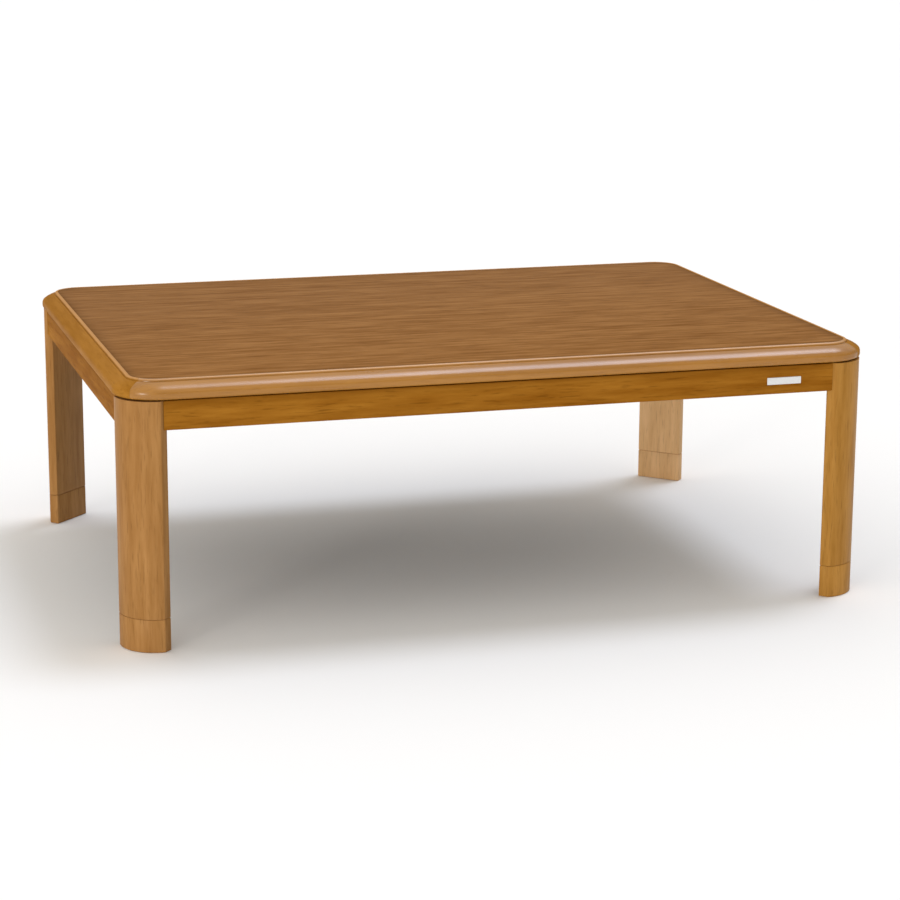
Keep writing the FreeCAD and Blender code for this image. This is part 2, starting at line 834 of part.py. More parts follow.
def make_reflector():
    """Bright tray under the housing's roof, on spacers, open for the fan motor."""
    x0 = -housing_inner + side_gap
    x1 = divider
    y1 = housing_inner - side_gap
    base = reflector_top - reflector_height
    body = block(x0, x1, -y1, y1, base, reflector_top)
    hollow = block(x0 + reflector_sheet, x1 - reflector_sheet, -y1 + reflector_sheet,
                   y1 - reflector_sheet, base - overrun, reflector_top - reflector_sheet)
    hole = Part.makeCylinder(motor_radius + motor_hole_gap, reflector_height + overrun,
                             Vector(heat_middle, 0, base), UP)
    save("heater_reflector", body.cut([hollow, hole]))
    spacers = []
    for x in (x0 + spacer_inset, x1 - spacer_inset):
        for y in (-y1 + spacer_inset, y1 - spacer_inset):
            spacers.append(Part.makeCylinder(spacer_radius, spacer_height,
                                             Vector(x, y, reflector_top), UP))
    save("reflector_spacers", spacers)


def tray(x0, x1, left_lip, right_lip, hollow_from):
    """A shallow box under the housing's flange, hollow from one level up, with lips to screw it on."""
    y = tray_outer
    body = block(x0, x1, -y, y, tray_bottom, flange_bottom)
    lip = block(x0 - left_lip, x1 + right_lip, -tray_half, tray_half,
                flange_bottom - tray_wall, flange_bottom)
    hollow = block(x0 + tray_wall, x1 - tray_wall, -y + tray_wall, y - tray_wall,
                   hollow_from, flange_bottom + overrun)
    return body.fuse(lip).cut(hollow).removeSplitter()


def lead_holes():
    """Holes for the two leads, through the walls between guard and control cover."""
    length = 2 * (tray_wall + side_gap) + 2 * side_gap
    holes = []
    for side in (-1, 1):
        base = Vector(divider - length / 2, side * tube_offset, tube_height)
        holes.append(Part.makeCylinder(lead_hole_radius, length, base, RIGHT))
    return holes


def make_guard():
    """Guard under the tubes and the fan: its walls, and the slotted grille welded in them."""
    left = -tray_outer
    walls = tray(left, guard_right, tray_lip, 0, tray_bottom - overrun)
    save("heater_guard", walls.cut(guard_screw_shanks(fixed_clearance) + lead_holes()))
    clear_x = guard_right - left - 2 * tray_wall
    clear_y = 2 * (tray_outer - tray_wall)
    columns = int(clear_x // (guard_slot_length + guard_cross_bar))
    rows = int(clear_y // (guard_slot_width + guard_bar))
    pitch_x = clear_x / columns
    pitch_y = clear_y / rows
    slots = []
    for column in range(columns):
        x = left + tray_wall + column * pitch_x + guard_cross_bar / 2
        for row in range(rows):
            y = -clear_y / 2 + row * pitch_y + guard_bar / 2
            slots.append(block(x, x + pitch_x - guard_cross_bar, y, y + pitch_y - guard_bar,
                               tray_bottom - overrun, tray_floor + overrun))
    grille = block(left + tray_wall, guard_right - tray_wall, -clear_y / 2, clear_y / 2,
                   tray_bottom, tray_floor)
    save("guard_grille", grille.cut(slots))


def tube_ends():
    """Left and right ends of the quartz tubes."""
    return heat_middle - tube_length / 2, heat_middle + tube_length / 2


def make_tubes():
    """Quartz tubes in ceramic caps on sheet brackets, with one looped element."""
    left, right = tube_ends()
    tubes = []
    caps = []
    brackets = []
    half = cap_size / 2
    for side in (-1, 1):
        y = side * tube_offset
        base = Vector(left, y, tube_height)
        tubes.append(tube(tube_radius, tube_radius - tube_wall, base, RIGHT, tube_length))
        for end, out in ((left, -1), (right, 1)):
            over = end - out * cap_over_tube
            x0, x1 = sorted((over, over + out * cap_length))
            cap = block(x0, x1, y - half, y + half, tube_height - half, tube_height + half)
            seat = Part.makeCylinder(tube_radius + fixed_clearance, cap_over_tube,
                                     Vector(over, y, tube_height), RIGHT * out)
            way = Part.makeCylinder(element_radius + fixed_clearance, cap_length,
                                    Vector(over, y, tube_height), RIGHT * out)
            caps.append(cap.cut([seat, way]))
            brackets.append(tube_bracket(x0, x1, y))
    save("quartz_tubes", tubes)
    save("tube_end_caps", caps)
    save("tube_brackets", brackets)

    link = left - (cap_length - cap_over_tube) - element_past_cap
    reach = divider + tray_wall + terminal_gap + terminal_length / 2
    rods = [Part.makeCylinder(element_radius, reach - link,
                              Vector(link, side * tube_offset, tube_height), RIGHT)
            for side in (-1, 1)]
    bar = Part.makeCylinder(element_radius, 2 * tube_offset,
                            Vector(link, -tube_offset, tube_height), BACK)
    knuckles = [Part.makeSphere(element_radius, Vector(link, side * tube_offset, tube_height))
                for side in (-1, 1)]
    save("heating_element", bar.fuse(rods + knuckles).removeSplitter())


def tube_bracket(x0, x1, y):
    """A sheet angle between a cap and the reflector."""
    middle = (x0 + x1) / 2
    cap_top = tube_height + cap_size / 2
    roof = reflector_top - reflector_sheet
    half = bracket_width / 2
    web = block(middle, middle + bracket_sheet, y - half, y + half, cap_top, roof)
    low = block(middle - bracket_foot / 2, middle + bracket_foot / 2, y - half, y + half,
                cap_top, cap_top + bracket_sheet)
    high = block(middle, middle + bracket_foot, y - half, y + half, roof - bracket_sheet, roof)
    return web.fuse([low, high]).removeSplitter()


def board_edges():
    """The control board's outline in the compartment."""
    x_middle = (control_left + tray_outer) / 2
    return x_middle - board_width / 2, x_middle + board_width / 2, board_front, board_back


def inlet_body(grow):
    """The inlet's outer box, or the hole for it."""
    x1 = tray_outer + inlet_proud
    z0 = tray_floor + inlet_rise
    return block(x1 - inlet_depth - grow, x1 + grow,
                 inlet_middle - inlet_width / 2 - grow, inlet_middle + inlet_width / 2 + grow,
                 z0 - grow, z0 + inlet_height + grow)


def make_control():
    """Control cover with its board, terminals, power inlet and thermostat."""
    shell = tray(control_left, tray_outer, 0, tray_lip, tray_floor)
    cuts = guard_screw_shanks(fixed_clearance) + lead_holes() + [inlet_body(fixed_clearance)]
    shell = shell.cut(cuts)
    x0, x1, y0, y1 = board_edges()
    posts = []
    for x in (x0 + post_inset, x1 - post_inset):
        for y in (y0 + post_inset, y1 - post_inset):
            posts.append(Part.makeCylinder(post_radius, board_height, Vector(x, y, tray_floor), UP))
    rest = block(tray_outer - inlet_depth, tray_outer - tray_wall,
                 inlet_middle - inlet_width / 2, inlet_middle + inlet_width / 2,
                 tray_floor, tray_floor + inlet_rise)
    save("control_cover", shell.fuse(posts + [rest]).removeSplitter())

    board_base = tray_floor + board_height
    sheet = block(x0, x1, y0, y1, board_base, board_base + board_sheet)
    middle = (y0 + y1) / 2
    parts = [sheet]
    for side in (-1, 1):
        y = middle + side * relay_pitch / 2
        parts.append(block(x0 + post_inset, x0 + post_inset + relay_length,
                           y - relay_width / 2, y + relay_width / 2,
                           board_base + board_sheet, board_base + board_sheet + relay_height))
    save("control_board", parts)

    x0 = control_left + tray_wall + terminal_gap
    top = tube_height + terminal_above_lead
    terminals = []
    for side in (-1, 1):
        y = side * tube_offset
        body = block(x0, x0 + terminal_length, y - terminal_width / 2, y + terminal_width / 2,
                     tray_floor, top)
        way = Part.makeCylinder(element_radius + fixed_clearance, terminal_length,
                                Vector(x0, y, tube_height), RIGHT)
        terminals.append(body.cut(way))
    save("terminal_blocks", terminals)

    x1 = tray_outer + inlet_proud
    z0 = tray_floor + inlet_rise
    recess = block(x1 - inlet_depth + inlet_floor, x1 + overrun,
                   inlet_middle - inlet_width / 2 + inlet_wall,
                   inlet_middle + inlet_width / 2 - inlet_wall,
                   z0 + inlet_wall, z0 + inlet_height - inlet_wall)
    pins = []
    pin_holes = []
    for side in (-1, 1):
        base = Vector(x1 - inlet_depth, inlet_middle + side * inlet_pin_pitch / 2,
                      z0 + inlet_height / 2)
        length = inlet_floor + inlet_pin_length
        pins.append(Part.makeCylinder(inlet_pin_radius, length, base, RIGHT))
        pin_holes.append(Part.makeCylinder(inlet_pin_radius + fixed_clearance, length, base, RIGHT))
    save("inlet_socket", inlet_body(0).cut([recess] + pin_holes))
    save("inlet_pins", pins)

    seat = reflector_top - reflector_sheet - thermostat_height
    disc = Part.makeCylinder(thermostat_radius, thermostat_height,
                             Vector(heat_middle + thermostat_reach, 0, seat), UP)
    save("thermostat", disc)


def lead(points):
    """A stiff insulated wire bent square at its points."""
    runs = [Part.makeCylinder(lead_radius, (end - start).Length, start, end - start)
            for start, end in zip(points, points[1:])]
    knuckles = [Part.makeSphere(lead_radius, point) for point in points[1:-1]]
    return runs[0].fuse(runs[1:] + knuckles).removeSplitter()


def make_leads():
    """Wires inside the heater: inlet to board, board to terminals, board to motor."""
    x0, x1, y0, y1 = board_edges()
    board_base = tray_floor + board_height
    board_top = board_base + board_sheet
    inlet_back = tray_outer + inlet_proud - inlet_depth
    inlet_level = tray_floor + inlet_rise + inlet_height / 2
    leads = []
    for index, side in enumerate((-1, 1)):
        y = inlet_middle + side * inlet_pin_pitch / 2
        x = inlet_back - inlet_lead_reach - index * lead_pitch
        y_end = y1 - post_inset - (index + 1) * lead_pitch
        leads.append(lead((Vector(inlet_back, y, inlet_level), Vector(x, y, inlet_level),
                           Vector(x, y_end, inlet_level), Vector(x, y_end, board_base))))
    level = inlet_level - outlet_lead_drop
    x = (x0 + x1) / 2 - lead_pitch
    middle = (y0 + y1) / 2
    for side in (-1, 1):
        y_start = middle + side * lead_pitch
        leads.append(lead((Vector(x, y_start, board_base), Vector(x, y_start, level),
                           Vector(x, side * terminal_inner, level))))
    roof = housing_top - housing_sheet
    level = roof - spacer_height * motor_lead_share
    motor_side = heat_middle + motor_radius
    x = (x0 + x1) / 2
    for side in (-1, 1):
        y = side * lead_pitch / 2
        y_end = middle + y
        x_end = x + side * lead_pitch / 2
        leads.append(lead((Vector(motor_side, y, level), Vector(x_end, y, level),
                           Vector(x_end, y_end, level), Vector(x_end, y_end, board_top))))
    save("heater_leads", leads)


def make_fan():
    """Motor under the housing's roof, its shaft and the bladed wheel."""
    roof = housing_top - housing_sheet
    base = roof - motor_height
    body = Part.makeCylinder(motor_radius, motor_height, Vector(heat_middle, 0, base), UP)
    bore = Part.makeCylinder(shaft_radius + running_clearance, shaft_in_motor + running_clearance,
                             Vector(heat_middle, 0, base), UP)
    save("fan_motor", body.cut(bore))
    shaft_base = Vector(heat_middle, 0, base - shaft_below_motor)
    shaft = Part.makeCylinder(shaft_radius, shaft_in_motor + shaft_below_motor, shaft_base, UP)
    save("fan_shaft", shaft)

    hub_top = base - hub_gap
    hub = Part.makeCylinder(hub_radius, hub_height, Vector(heat_middle, 0, hub_top - hub_height), UP)
    blades = []
    length = blade_reach - hub_radius + blade_root
    for index in range(blade_count):
        blade = Part.makeBox(length, blade_width, blade_sheet,
                             Vector(0, -blade_width / 2, -blade_sheet / 2))
        blade.rotate(ORIGIN, RIGHT, blade_pitch)
        blade.translate(Vector(hub_radius - blade_root, 0, 0))
        blade.rotate(ORIGIN, UP, 360 * index / blade_count)
        blade.translate(Vector(heat_middle, 0, hub_top - hub_height / 2))
        blades.append(blade)
    wheel = hub.fuse(blades)
    hole = Part.makeCylinder(shaft_radius + running_clearance, hub_height,
                             Vector(heat_middle, 0, hub_top - hub_height), UP)
    save("fan_wheel", wheel.cut(hole))


make_panel()
make_rim()
make_frame()
make_rails()
make_legs()
make_feet()
make_housing()
make_reflector()
make_guard()
make_tubes()
make_control()
make_leads()
make_fan()
make_heater_screws()
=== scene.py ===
import json
import math

import bmesh
import bpy
from bmesh.types import BMEdge, BMFace, BMVert
from bpy.props import FloatProperty, FloatVectorProperty, PointerProperty
from bpy.types import Operator, Panel, PropertyGroup
from mathutils import Matrix, Vector


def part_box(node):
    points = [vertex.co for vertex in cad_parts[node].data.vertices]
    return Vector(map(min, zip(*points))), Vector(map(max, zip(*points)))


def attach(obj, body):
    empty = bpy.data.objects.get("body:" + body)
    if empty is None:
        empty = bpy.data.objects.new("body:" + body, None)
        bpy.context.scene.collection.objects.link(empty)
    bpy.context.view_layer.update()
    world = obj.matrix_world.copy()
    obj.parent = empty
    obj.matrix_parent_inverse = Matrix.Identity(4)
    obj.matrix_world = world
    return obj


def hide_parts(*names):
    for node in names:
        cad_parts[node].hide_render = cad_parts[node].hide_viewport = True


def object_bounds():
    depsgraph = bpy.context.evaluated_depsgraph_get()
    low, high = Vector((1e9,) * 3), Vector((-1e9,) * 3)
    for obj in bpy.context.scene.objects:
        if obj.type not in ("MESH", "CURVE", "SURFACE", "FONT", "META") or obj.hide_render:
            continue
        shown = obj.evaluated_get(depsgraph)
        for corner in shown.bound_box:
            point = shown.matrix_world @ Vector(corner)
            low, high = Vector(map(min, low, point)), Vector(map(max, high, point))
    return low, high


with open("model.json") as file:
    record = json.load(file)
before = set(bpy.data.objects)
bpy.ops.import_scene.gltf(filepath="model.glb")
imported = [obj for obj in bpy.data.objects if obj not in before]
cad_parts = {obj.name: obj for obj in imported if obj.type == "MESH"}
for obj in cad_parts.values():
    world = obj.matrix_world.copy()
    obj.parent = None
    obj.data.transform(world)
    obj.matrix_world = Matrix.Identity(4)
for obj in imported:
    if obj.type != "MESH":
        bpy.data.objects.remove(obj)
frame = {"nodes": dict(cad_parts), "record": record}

bl_info = {
    "name": "Low heated table",
    "version": (1, 0, 0),
    "blender": (4, 5, 0),
    "location": "3D View > Sidebar > Heated table",
    "description": "Makes the wood, metal and heater parts of a low heated table, and its studio",
    "category": "Object",
}

cad_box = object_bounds()

MM = 0.001
DIAGONAL = math.sqrt(2)
QUARTER = math.pi / 2
FULL_TURN = 2 * math.pi
ALONG_X = Matrix.Rotation(QUARTER, 4, "Y")

# Mesh fineness
CORNER_STEPS = 32       # round the corners of the top and of each leg
ROUND_STEPS = 10        # over a moulded round
EDGE_STEPS = 3          # over an eased edge
SHEET_STEPS = 8         # round the corners of the pressed housing
PLATE_STEPS = 6         # round the corners of the badge plate
BOARD_STEPS = 4         # round the corners of the control board and its relays
CIRCLE_STEPS = 48       # round a turned piece
SMALL_STEPS = 20        # round a screw, a dowel or a rod
COIL_STEPS = 12         # round one turn of a coil or a thread
EDGE_TURN = math.radians(40)    # an edge that turns by more is eased
SHARP_TURN = math.radians(32)   # an edge that turns by less is shaded smooth
FLAT_TURN = math.radians(0.5)   # faces that turn by less are one flat face
SAME_PLACE = 0.02 * MM

CORNERS = {
    "front_left": (-1, -1),
    "front_right": (1, -1),
    "back_left": (-1, 1),
    "back_right": (1, 1),
}

SLOT_OF_NODE = {part["node"]: part["material_slot"] for part in frame["record"]["subparts"]}
BODY_OF_NODE = {node: body for body, nodes in frame["record"]["behaviour"]["bodies"].items()
                for node in nodes}


def linear(code):
    """Linear colour of an sRGB hex value."""
    shares = [int(code[place:place + 2], 16) / 255 for place in (1, 3, 5)]
    return [share / 12.92 if share <= 0.04045 else ((share + 0.055) / 1.055) ** 2.4
            for share in shares]


def length(name, description, size):
    """A length that a user can change, with its default in millimetres."""
    return FloatProperty(name=name, description=description, default=size * MM, min=0,
                         unit="LENGTH", precision=5)


def angle(name, description, degrees):
    """An angle that a user can change."""
    return FloatProperty(name=name, description=description, default=math.radians(degrees),
                         subtype="ANGLE")


def colour(name, description, code):
    """A colour that a user can change, given as an sRGB hex value."""
    return FloatVectorProperty(name=name, description=description, default=linear(code),
                               subtype="COLOR", size=3, min=0, max=1)


class TABLE_PG_sizes(PropertyGroup):
    """Sizes of the visible woodwork."""
    top_corner: length("Top corner", "Radius of the corners of the top", 58)
    panel_corner: length("Panel corner", "Radius of the panel's corners inside the rim", 34)
    bead_width: length("Bead width", "Width of the bead beside the panel", 5.2)
    bead_round: length("Bead round", "Radius over the outer side of the bead", 3)
    bead_step: length("Bead step", "Drop from the bead's crown to the swelling band", 3.2)
    panel_drop: length("Panel drop", "How far the panel lies below the bead's crown", 0.8)
    panel_edge: length("Panel edge", "Bevel along the panel's upper edge", 0.3)
    bead_inner: length("Bead inner round", "Radius over the bead's edge beside the panel", 1)
    quirk: length("Quirk", "Depth of the fine groove along the bead's outer foot", 0.45)
    # the panel's border is a painted shade, its colour darker toward the bead
    border: length("Panel border", "Width of the darker stain along the panel's edge", 30)
    nose_round: length("Nose round", "Radius of the upper round of the rim", 8)
    under_round: length("Under round", "Radius of the lower round of the rim", 5)
    band_start: angle("Band start", "Slope of the swelling band at the bead", 12)
    band_end: angle("Band end", "Slope of the swelling band at the nose", 38)
    mitre_gap: length("Mitre gap", "Open line between two mouldings at a corner", 0.15)
    apron_edge: length("Apron edge", "Radius of the eased edges of the aprons", 1.4)
    leg_round: length("Leg round", "Radius of the outer face of the legs", 49.5)
    leg_flat: length("Leg flat", "Straight stretch between the leg's round and its end face", 2.1)
    leg_end: length("Leg end", "Width of the end faces of the legs", 14)
    leg_edge: length("Leg edge", "Radius of the long edges of the legs", 1.5)
    socket_radius: length("Socket radius", "Hole in the leg for the foot's socket", 8.1)
    socket_depth: length("Socket depth", "Depth of that hole", 28.1)
    foot_bevel: length("Foot bevel", "Bevel on each side of the joint above the foot", 1.3)
    base_bevel: length("Base bevel", "Bevel round the sole of the foot", 0.8)
    badge_corner: length("Badge corner", "Radius of the badge plate's corners", 1)
    badge_border: length("Badge border", "Width of the badge plate's raised border", 0.5)


class TABLE_PG_heater(PropertyGroup):
    """Sizes of the heater unit and of the small metal parts."""
    sheet: length("Sheet", "Thickness of the heater's housing", 1.2)
    pan_corner: length("Pan corner", "Radius of the housing's upright corners", 9)
    pan_edge: length("Pan edge", "Radius round the housing's roof", 4)
    pan_foot: length("Pan foot", "Radius between the housing's wall and its flange", 2)
    flange_corner: length("Flange corner", "Radius of the flange's corners", 12)
    guard_margin: length("Guard margin", "How much wider than the pan the guard is", 20)
    coil_radius: length("Coil radius", "Radius of the heating coil inside its tube", 3.4)
    coil_pitch: length("Coil pitch", "Pitch of the heating coil, drawn wider than it is", 3.2)
    coil_wire: length("Coil wire", "Radius of the heating wire, drawn thicker than it is", 0.6)
    coil_margin: length("Coil margin", "Straight wire between the coil and the tube's end", 14)
    thread_pitch: length("Thread pitch", "Pitch of the leg bolts", 1)
    screw_pitch: length("Screw pitch", "Pitch of the screws", 1.25)
    hub: length("Hub", "Radius of the fan wheel's hub", 12)
    hub_bore: length("Hub bore", "Radius of the hub's bore", 2.05)
    blade_tip: length("Blade tip", "Radius of the fan wheel over its blades", 44.6)
    blade_root: length("Blade root", "How far each blade reaches into the hub", 3)
    blade_width: length("Blade width", "Width of the fan's blades", 13.6)
    blade_camber: length("Blade camber", "Rise of a blade's middle above its edges", 1.1)
    blade_sheet: length("Blade sheet", "Thickness of the fan's blades", 1)
    blade_pitch: angle("Blade pitch", "Tilt of the fan's blades", 28)


class TABLE_PG_finishes(PropertyGroup):
    """Colours of the stained woods."""
    veneer_light: colour("Veneer, light", "Light figure of the stained panel", "#A0713F")
    veneer_dark: colour("Veneer, dark", "Dark streaks of the stained panel", "#7B4F21")
    rim_light: colour("Rim, light", "Light figure of the stained rim", "#AC772F")
    rim_dark: colour("Rim, dark", "Dark streaks of the stained rim", "#92601D")
    # the bead's crown colour is a painted highlight
    bead_light: colour("Bead", "Crown of the bead, where the stain is rubbed thin", "#E2B384")
    apron_light: colour("Apron, light", "Light figure of the stained aprons", "#A87126")
    apron_dark: colour("Apron, dark", "Dark streaks of the stained aprons", "#824E0F")
    leg_light: colour("Leg, light", "Light figure of the stained legs", "#B4854F")
    leg_dark: colour("Leg, dark", "Dark streaks of the stained legs", "#996B38")
    golden_leg_light: colour("Golden leg, light", "Light figure, front right leg", "#BA8843")
    golden_leg_dark: colour("Golden leg, dark", "Dark streaks, front right leg", "#9E6E2C")
    pale_leg_light: colour("Pale leg, light", "Light figure, back right leg", "#DCB384")
    pale_leg_dark: colour("Pale leg, dark", "Dark streaks, back right leg", "#C49A68")


class TABLE_PG_stage(PropertyGroup):
    """Camera of the photograph and the studio round it."""
    azimuth: angle("Azimuth", "Camera's turn from the front, to the left", 16.57)
    elevation: angle("Elevation", "Camera's rise above level", 13.45)
    roll: angle("Roll", "Camera's turn about its own axis", 0.30)
    distance: length("Distance", "From the floor's middle to the camera, along its axis", 3900)
    aside: length("Aside", "Camera's shift to its own right", 25.9)
    above: length("Above", "Camera's shift to its own upper side", 152.8)
    lens: FloatProperty(name="Lens", description="Focal length on a 36 mm wide sensor",
                        default=104.7, unit="CAMERA")
    floor_colour: colour("Floor", "Plain pale studio floor", "#F8F8F7")


# Materials

def add_node(tree, kind, settings=None, inputs=None, out=0):
    """Add a shader node and return one of its outputs. An input given as a socket is linked, and
    any other is set as a value."""
    node = tree.nodes.new("ShaderNode" + kind)
    for name, value in (settings or {}).items():
        setattr(node, name, value)
    for key, value in (inputs or {}).items():
        if isinstance(value, bpy.types.NodeSocket):
            tree.links.new(value, node.inputs[key])
        else:
            node.inputs[key].default_value = value
    return node.outputs[out]


def new_material(name, shader_values):
    """A material with one Principled shader. Returns the material, its tree and the shader."""
    material = bpy.data.materials.new(name)
    material.use_nodes = True
    tree = material.node_tree
    shader = tree.nodes["Principled BSDF"]
    for key, value in shader_values.items():
        shader.inputs[key].default_value = value
    return material, tree, shader


def opaque(values, share=1.0):
    """A colour with its alpha, darkened to a share."""
    return (*[value * share for value in values], 1)


def long_noise(tree, place, axis, size, detail, roughness=0.5, twist=0, shift=0):
    """Noise with features of a size, as (length along one axis, width across it) in metres."""
    along, across = size
    at = add_node(tree, "Mapping", inputs={
        "Vector": place, "Location": (shift, shift, shift),
        "Scale": [1 / along if letter == axis else 1 / across for letter in "XYZ"]})
    return add_node(tree, "TexNoise", inputs={
        "Vector": at, "Scale": 1.0, "Detail": detail, "Roughness": roughness, "Distortion": twist})


def clouded(tree, place, code, spread, scale, detail, roughness=0.5):
    """A cloud, and a colour that it darkens by up to a share."""
    cloud = add_node(tree, "TexNoise", inputs={
        "Vector": place, "Scale": scale, "Detail": detail, "Roughness": roughness})
    tone = linear(code)
    return cloud, add_node(tree, "Mix", {"data_type": "RGBA"}, {
        0: cloud, 6: opaque(tone, 1 - spread), 7: opaque(tone)}, 2)


def lay(tree, shader, body, pattern, gloss, relief, depth, strength=1.0):
    """Link a finish to its shader: its colour, a roughness that follows a pattern, given as
    (pattern from, to, roughness from, to), and its relief."""
    low, high, start, end = gloss
    rough = add_node(tree, "MapRange", inputs={
        "Value": pattern, "From Min": low, "From Max": high, "To Min": start, "To Max": end})
    bump = add_node(tree, "Bump", inputs={
        "Height": relief, "Distance": depth, "Strength": strength})
    for key, socket in (("Base Color", body), ("Roughness", rough), ("Normal", bump)):
        tree.links.new(socket, shader.inputs[key])


# Grain as (length along, width across) of each feature, in metres
FIGURE = (0.60, 0.040)      # broad light and dark of the board
STREAK = (0.090, 0.0090)    # growth lines are 1 to 3 mm apart, drawn coarser so that they show
FLECK = (0.030, 0.0024)     # pores are 0.2 mm wide, drawn coarser so that they show
FIBRE = (0.040, 0.0012)     # fibres are finer than 0.1 mm, drawn coarser so that they show


def past_panel(tree, place):
    """How far a place lies outside the panel's rounded outline, below zero inside it."""
    corner = bpy.context.scene.table_sizes.panel_corner
    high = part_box("top_face_sheet")[1]
    apart = place
    for operation, other in (
            ("MULTIPLY", (1, 1, 0)), ("ABSOLUTE", (0, 0, 0)),
            ("SUBTRACT", (high.x - corner, high.y - corner, 0)), ("MAXIMUM", (0, 0, 0))):
        apart = add_node(tree, "VectorMath", {"operation": operation}, {0: apart, 1: other})
    reach = add_node(tree, "VectorMath", {"operation": "LENGTH"}, {0: apart}, "Value")
    return add_node(tree, "Math", {"operation": "SUBTRACT"}, {0: reach, 1: corner})


def painted_border_shade(tree, place, dark):
    """Painted shade along the bead: the panel's colour darkens softly toward its edge."""
    near = add_node(tree, "MapRange", inputs={
        "Value": past_panel(tree, place), "From Min": -bpy.context.scene.table_sizes.border,
        "From Max": 0})
    near = add_node(tree, "Math", {"operation": "POWER"}, {0: near, 1: 3})
    share = add_node(tree, "Math", {"operation": "MULTIPLY"}, {0: near, 1: 0.45})
    return share, opaque(dark, 0.4)


def painted_bead_highlight(tree, place, dark):
    """Painted highlight on the bead: its crown is coloured lighter than the band beside it."""
    crown = bpy.context.scene.table_sizes.bead_width / 2
    off = add_node(tree, "Math", {"operation": "SUBTRACT"}, {
        0: past_panel(tree, place), 1: crown})
    off = add_node(tree, "Math", {"operation": "ABSOLUTE"}, {0: off})
    share = add_node(tree, "MapRange", {"interpolation_type": "SMOOTHSTEP"}, {
        "Value": off, "From Min": crown * 0.6, "From Max": crown, "To Min": 0.36, "To Max": 0})
    return share, opaque(bpy.context.scene.table_finishes.bead_light)


def painted_overhang_shade(tree, place, dark):
    """Painted shade along the apron's upper edge, under the top's overhang."""
    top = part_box("apron_front")[1].z
    height = add_node(tree, "SeparateXYZ", inputs={0: place}, out="Z")
    share = add_node(tree, "MapRange", inputs={
        "Value": height, "From Min": top - 14 * MM, "From Max": top, "To Max": 0.45})
    return share, opaque(dark, 0.75)


# Painted shade and painted highlights at the edges of some woods
PAINTED_EDGE_LIGHT = {"veneer": painted_border_shade, "rim": painted_bead_highlight, "apron": painted_overhang_shade}


def stained_wood(name, axis, tone_name, roughness, specular, streaks, flecks, shift=0):
    """Stained hardwood in lacquer: soft long figure, darker streaks and short dark flecks, with
    shares for streaks and flecks. Some woods also get a painted shade or a painted highlight at
    their edges."""
    material, tree, shader = new_material(name, {"IOR": 1.5, "Specular IOR Level": specular})
    tones = bpy.context.scene.table_finishes
    light, dark = getattr(tones, tone_name + "_light"), getattr(tones, tone_name + "_dark")
    place = add_node(tree, "TexCoord", out="Object")
    noises, patterns = [], []
    for size, detail, twist, low, high, most in (
            (FIGURE, 3, 0.4, 0.36, 0.64, 1), (STREAK, 4, 0.2, 0.34, 0.66, 1),
            (FLECK, 2, 0, 0.56, 0.72, flecks)):
        noise = long_noise(tree, place, axis, size, detail, 0.58, twist, shift)
        noises.append(noise)
        patterns.append(add_node(tree, "MapRange", inputs={
            "Value": noise, "From Min": low, "From Max": high, "To Max": most}))
    figure, streak, fleck = patterns
    tone = add_node(tree, "Mix", {"data_type": "FLOAT"}, {0: streaks, 2: figure, 3: streak})
    board = add_node(tree, "Mix", {"data_type": "RGBA"}, {
        0: tone, 6: opaque(dark), 7: opaque(light)}, 2)
    layers = [(fleck, opaque(dark, 0.55))]
    # the painted shade of the veneer and the aprons, and the painted highlight of the rim's bead
    if tone_name in PAINTED_EDGE_LIGHT:
        layers.append(PAINTED_EDGE_LIGHT[tone_name](tree, place, dark))
    for share, over in layers:
        board = add_node(tree, "Mix", {"data_type": "RGBA"}, {0: share, 6: board, 7: over}, 2)
    relief = add_node(tree, "Mix", {"data_type": "FLOAT"}, {0: 0.6, 2: noises[1], 3: noises[2]})
    lay(tree, shader, board, tone, (0, 1, roughness + 0.05, roughness), relief, 0.05 * MM, 0.5)
    return material


def raw_wood(name, axis, light, dark, line=5):
    """Planed wood without a finish: dull, with clear growth lines some millimetres wide."""
    material, tree, shader = new_material(name, {"Specular IOR Level": 0.3})
    place = add_node(tree, "TexCoord", out="Object")
    rings = long_noise(tree, place, axis, (line * MM * 60, line * MM), 2, 0.5, 0.8)
    fibre = long_noise(tree, place, axis, FIBRE, 3, 0.6)
    both = add_node(tree, "Mix", {"data_type": "FLOAT"}, {0: 0.35, 2: rings, 3: fibre})
    tone = add_node(tree, "MapRange", inputs={"Value": both, "From Min": 0.38, "From Max": 0.60})
    board = add_node(tree, "Mix", {"data_type": "RGBA"}, {
        0: tone, 6: opaque(linear(dark)), 7: opaque(linear(light))}, 2)
    lay(tree, shader, board, tone, (0, 1, 0.78, 0.62), fibre, 0.08 * MM, 0.6)
    return material


def grained(name, code, roughness, grain, depth, spread=0.12):
    """Plastic, enamel, rubber or ceramic with an even grain, its width and depth in millimetres."""
    material, tree, shader = new_material(name, {})
    place = add_node(tree, "TexCoord", out="Object")
    fine = add_node(tree, "TexNoise", inputs={
        "Vector": place, "Scale": 1 / (grain * MM), "Detail": 3, "Roughness": 0.6})
    body = clouded(tree, place, code, spread, 18, 2)[1]
    gloss = (0.3, 0.7, roughness - 0.05, roughness + 0.05)
    lay(tree, shader, body, fine, gloss, fine, depth * MM)
    return material


def rolled_metal(name, code, roughness, axis, line, spread=0.15):
    """Sheet or drawn metal with fine lines along one axis, their width in millimetres, and a faint
    cloudy tarnish."""
    material, tree, shader = new_material(name, {"Metallic": 1.0})
    place = add_node(tree, "TexCoord", out="Object")
    lines = long_noise(tree, place, axis, (line * MM * 60, line * MM), 3, 0.6)
    cloud, body = clouded(tree, place, code, spread, 35, 3, 0.6)
    both = add_node(tree, "Mix", {"data_type": "FLOAT"}, {0: 0.5, 2: lines, 3: cloud})
    gloss = (0.35, 0.65, roughness - 0.07, roughness + 0.07)
    lay(tree, shader, body, both, gloss, lines, 0.01 * MM, 0.4)
    return material


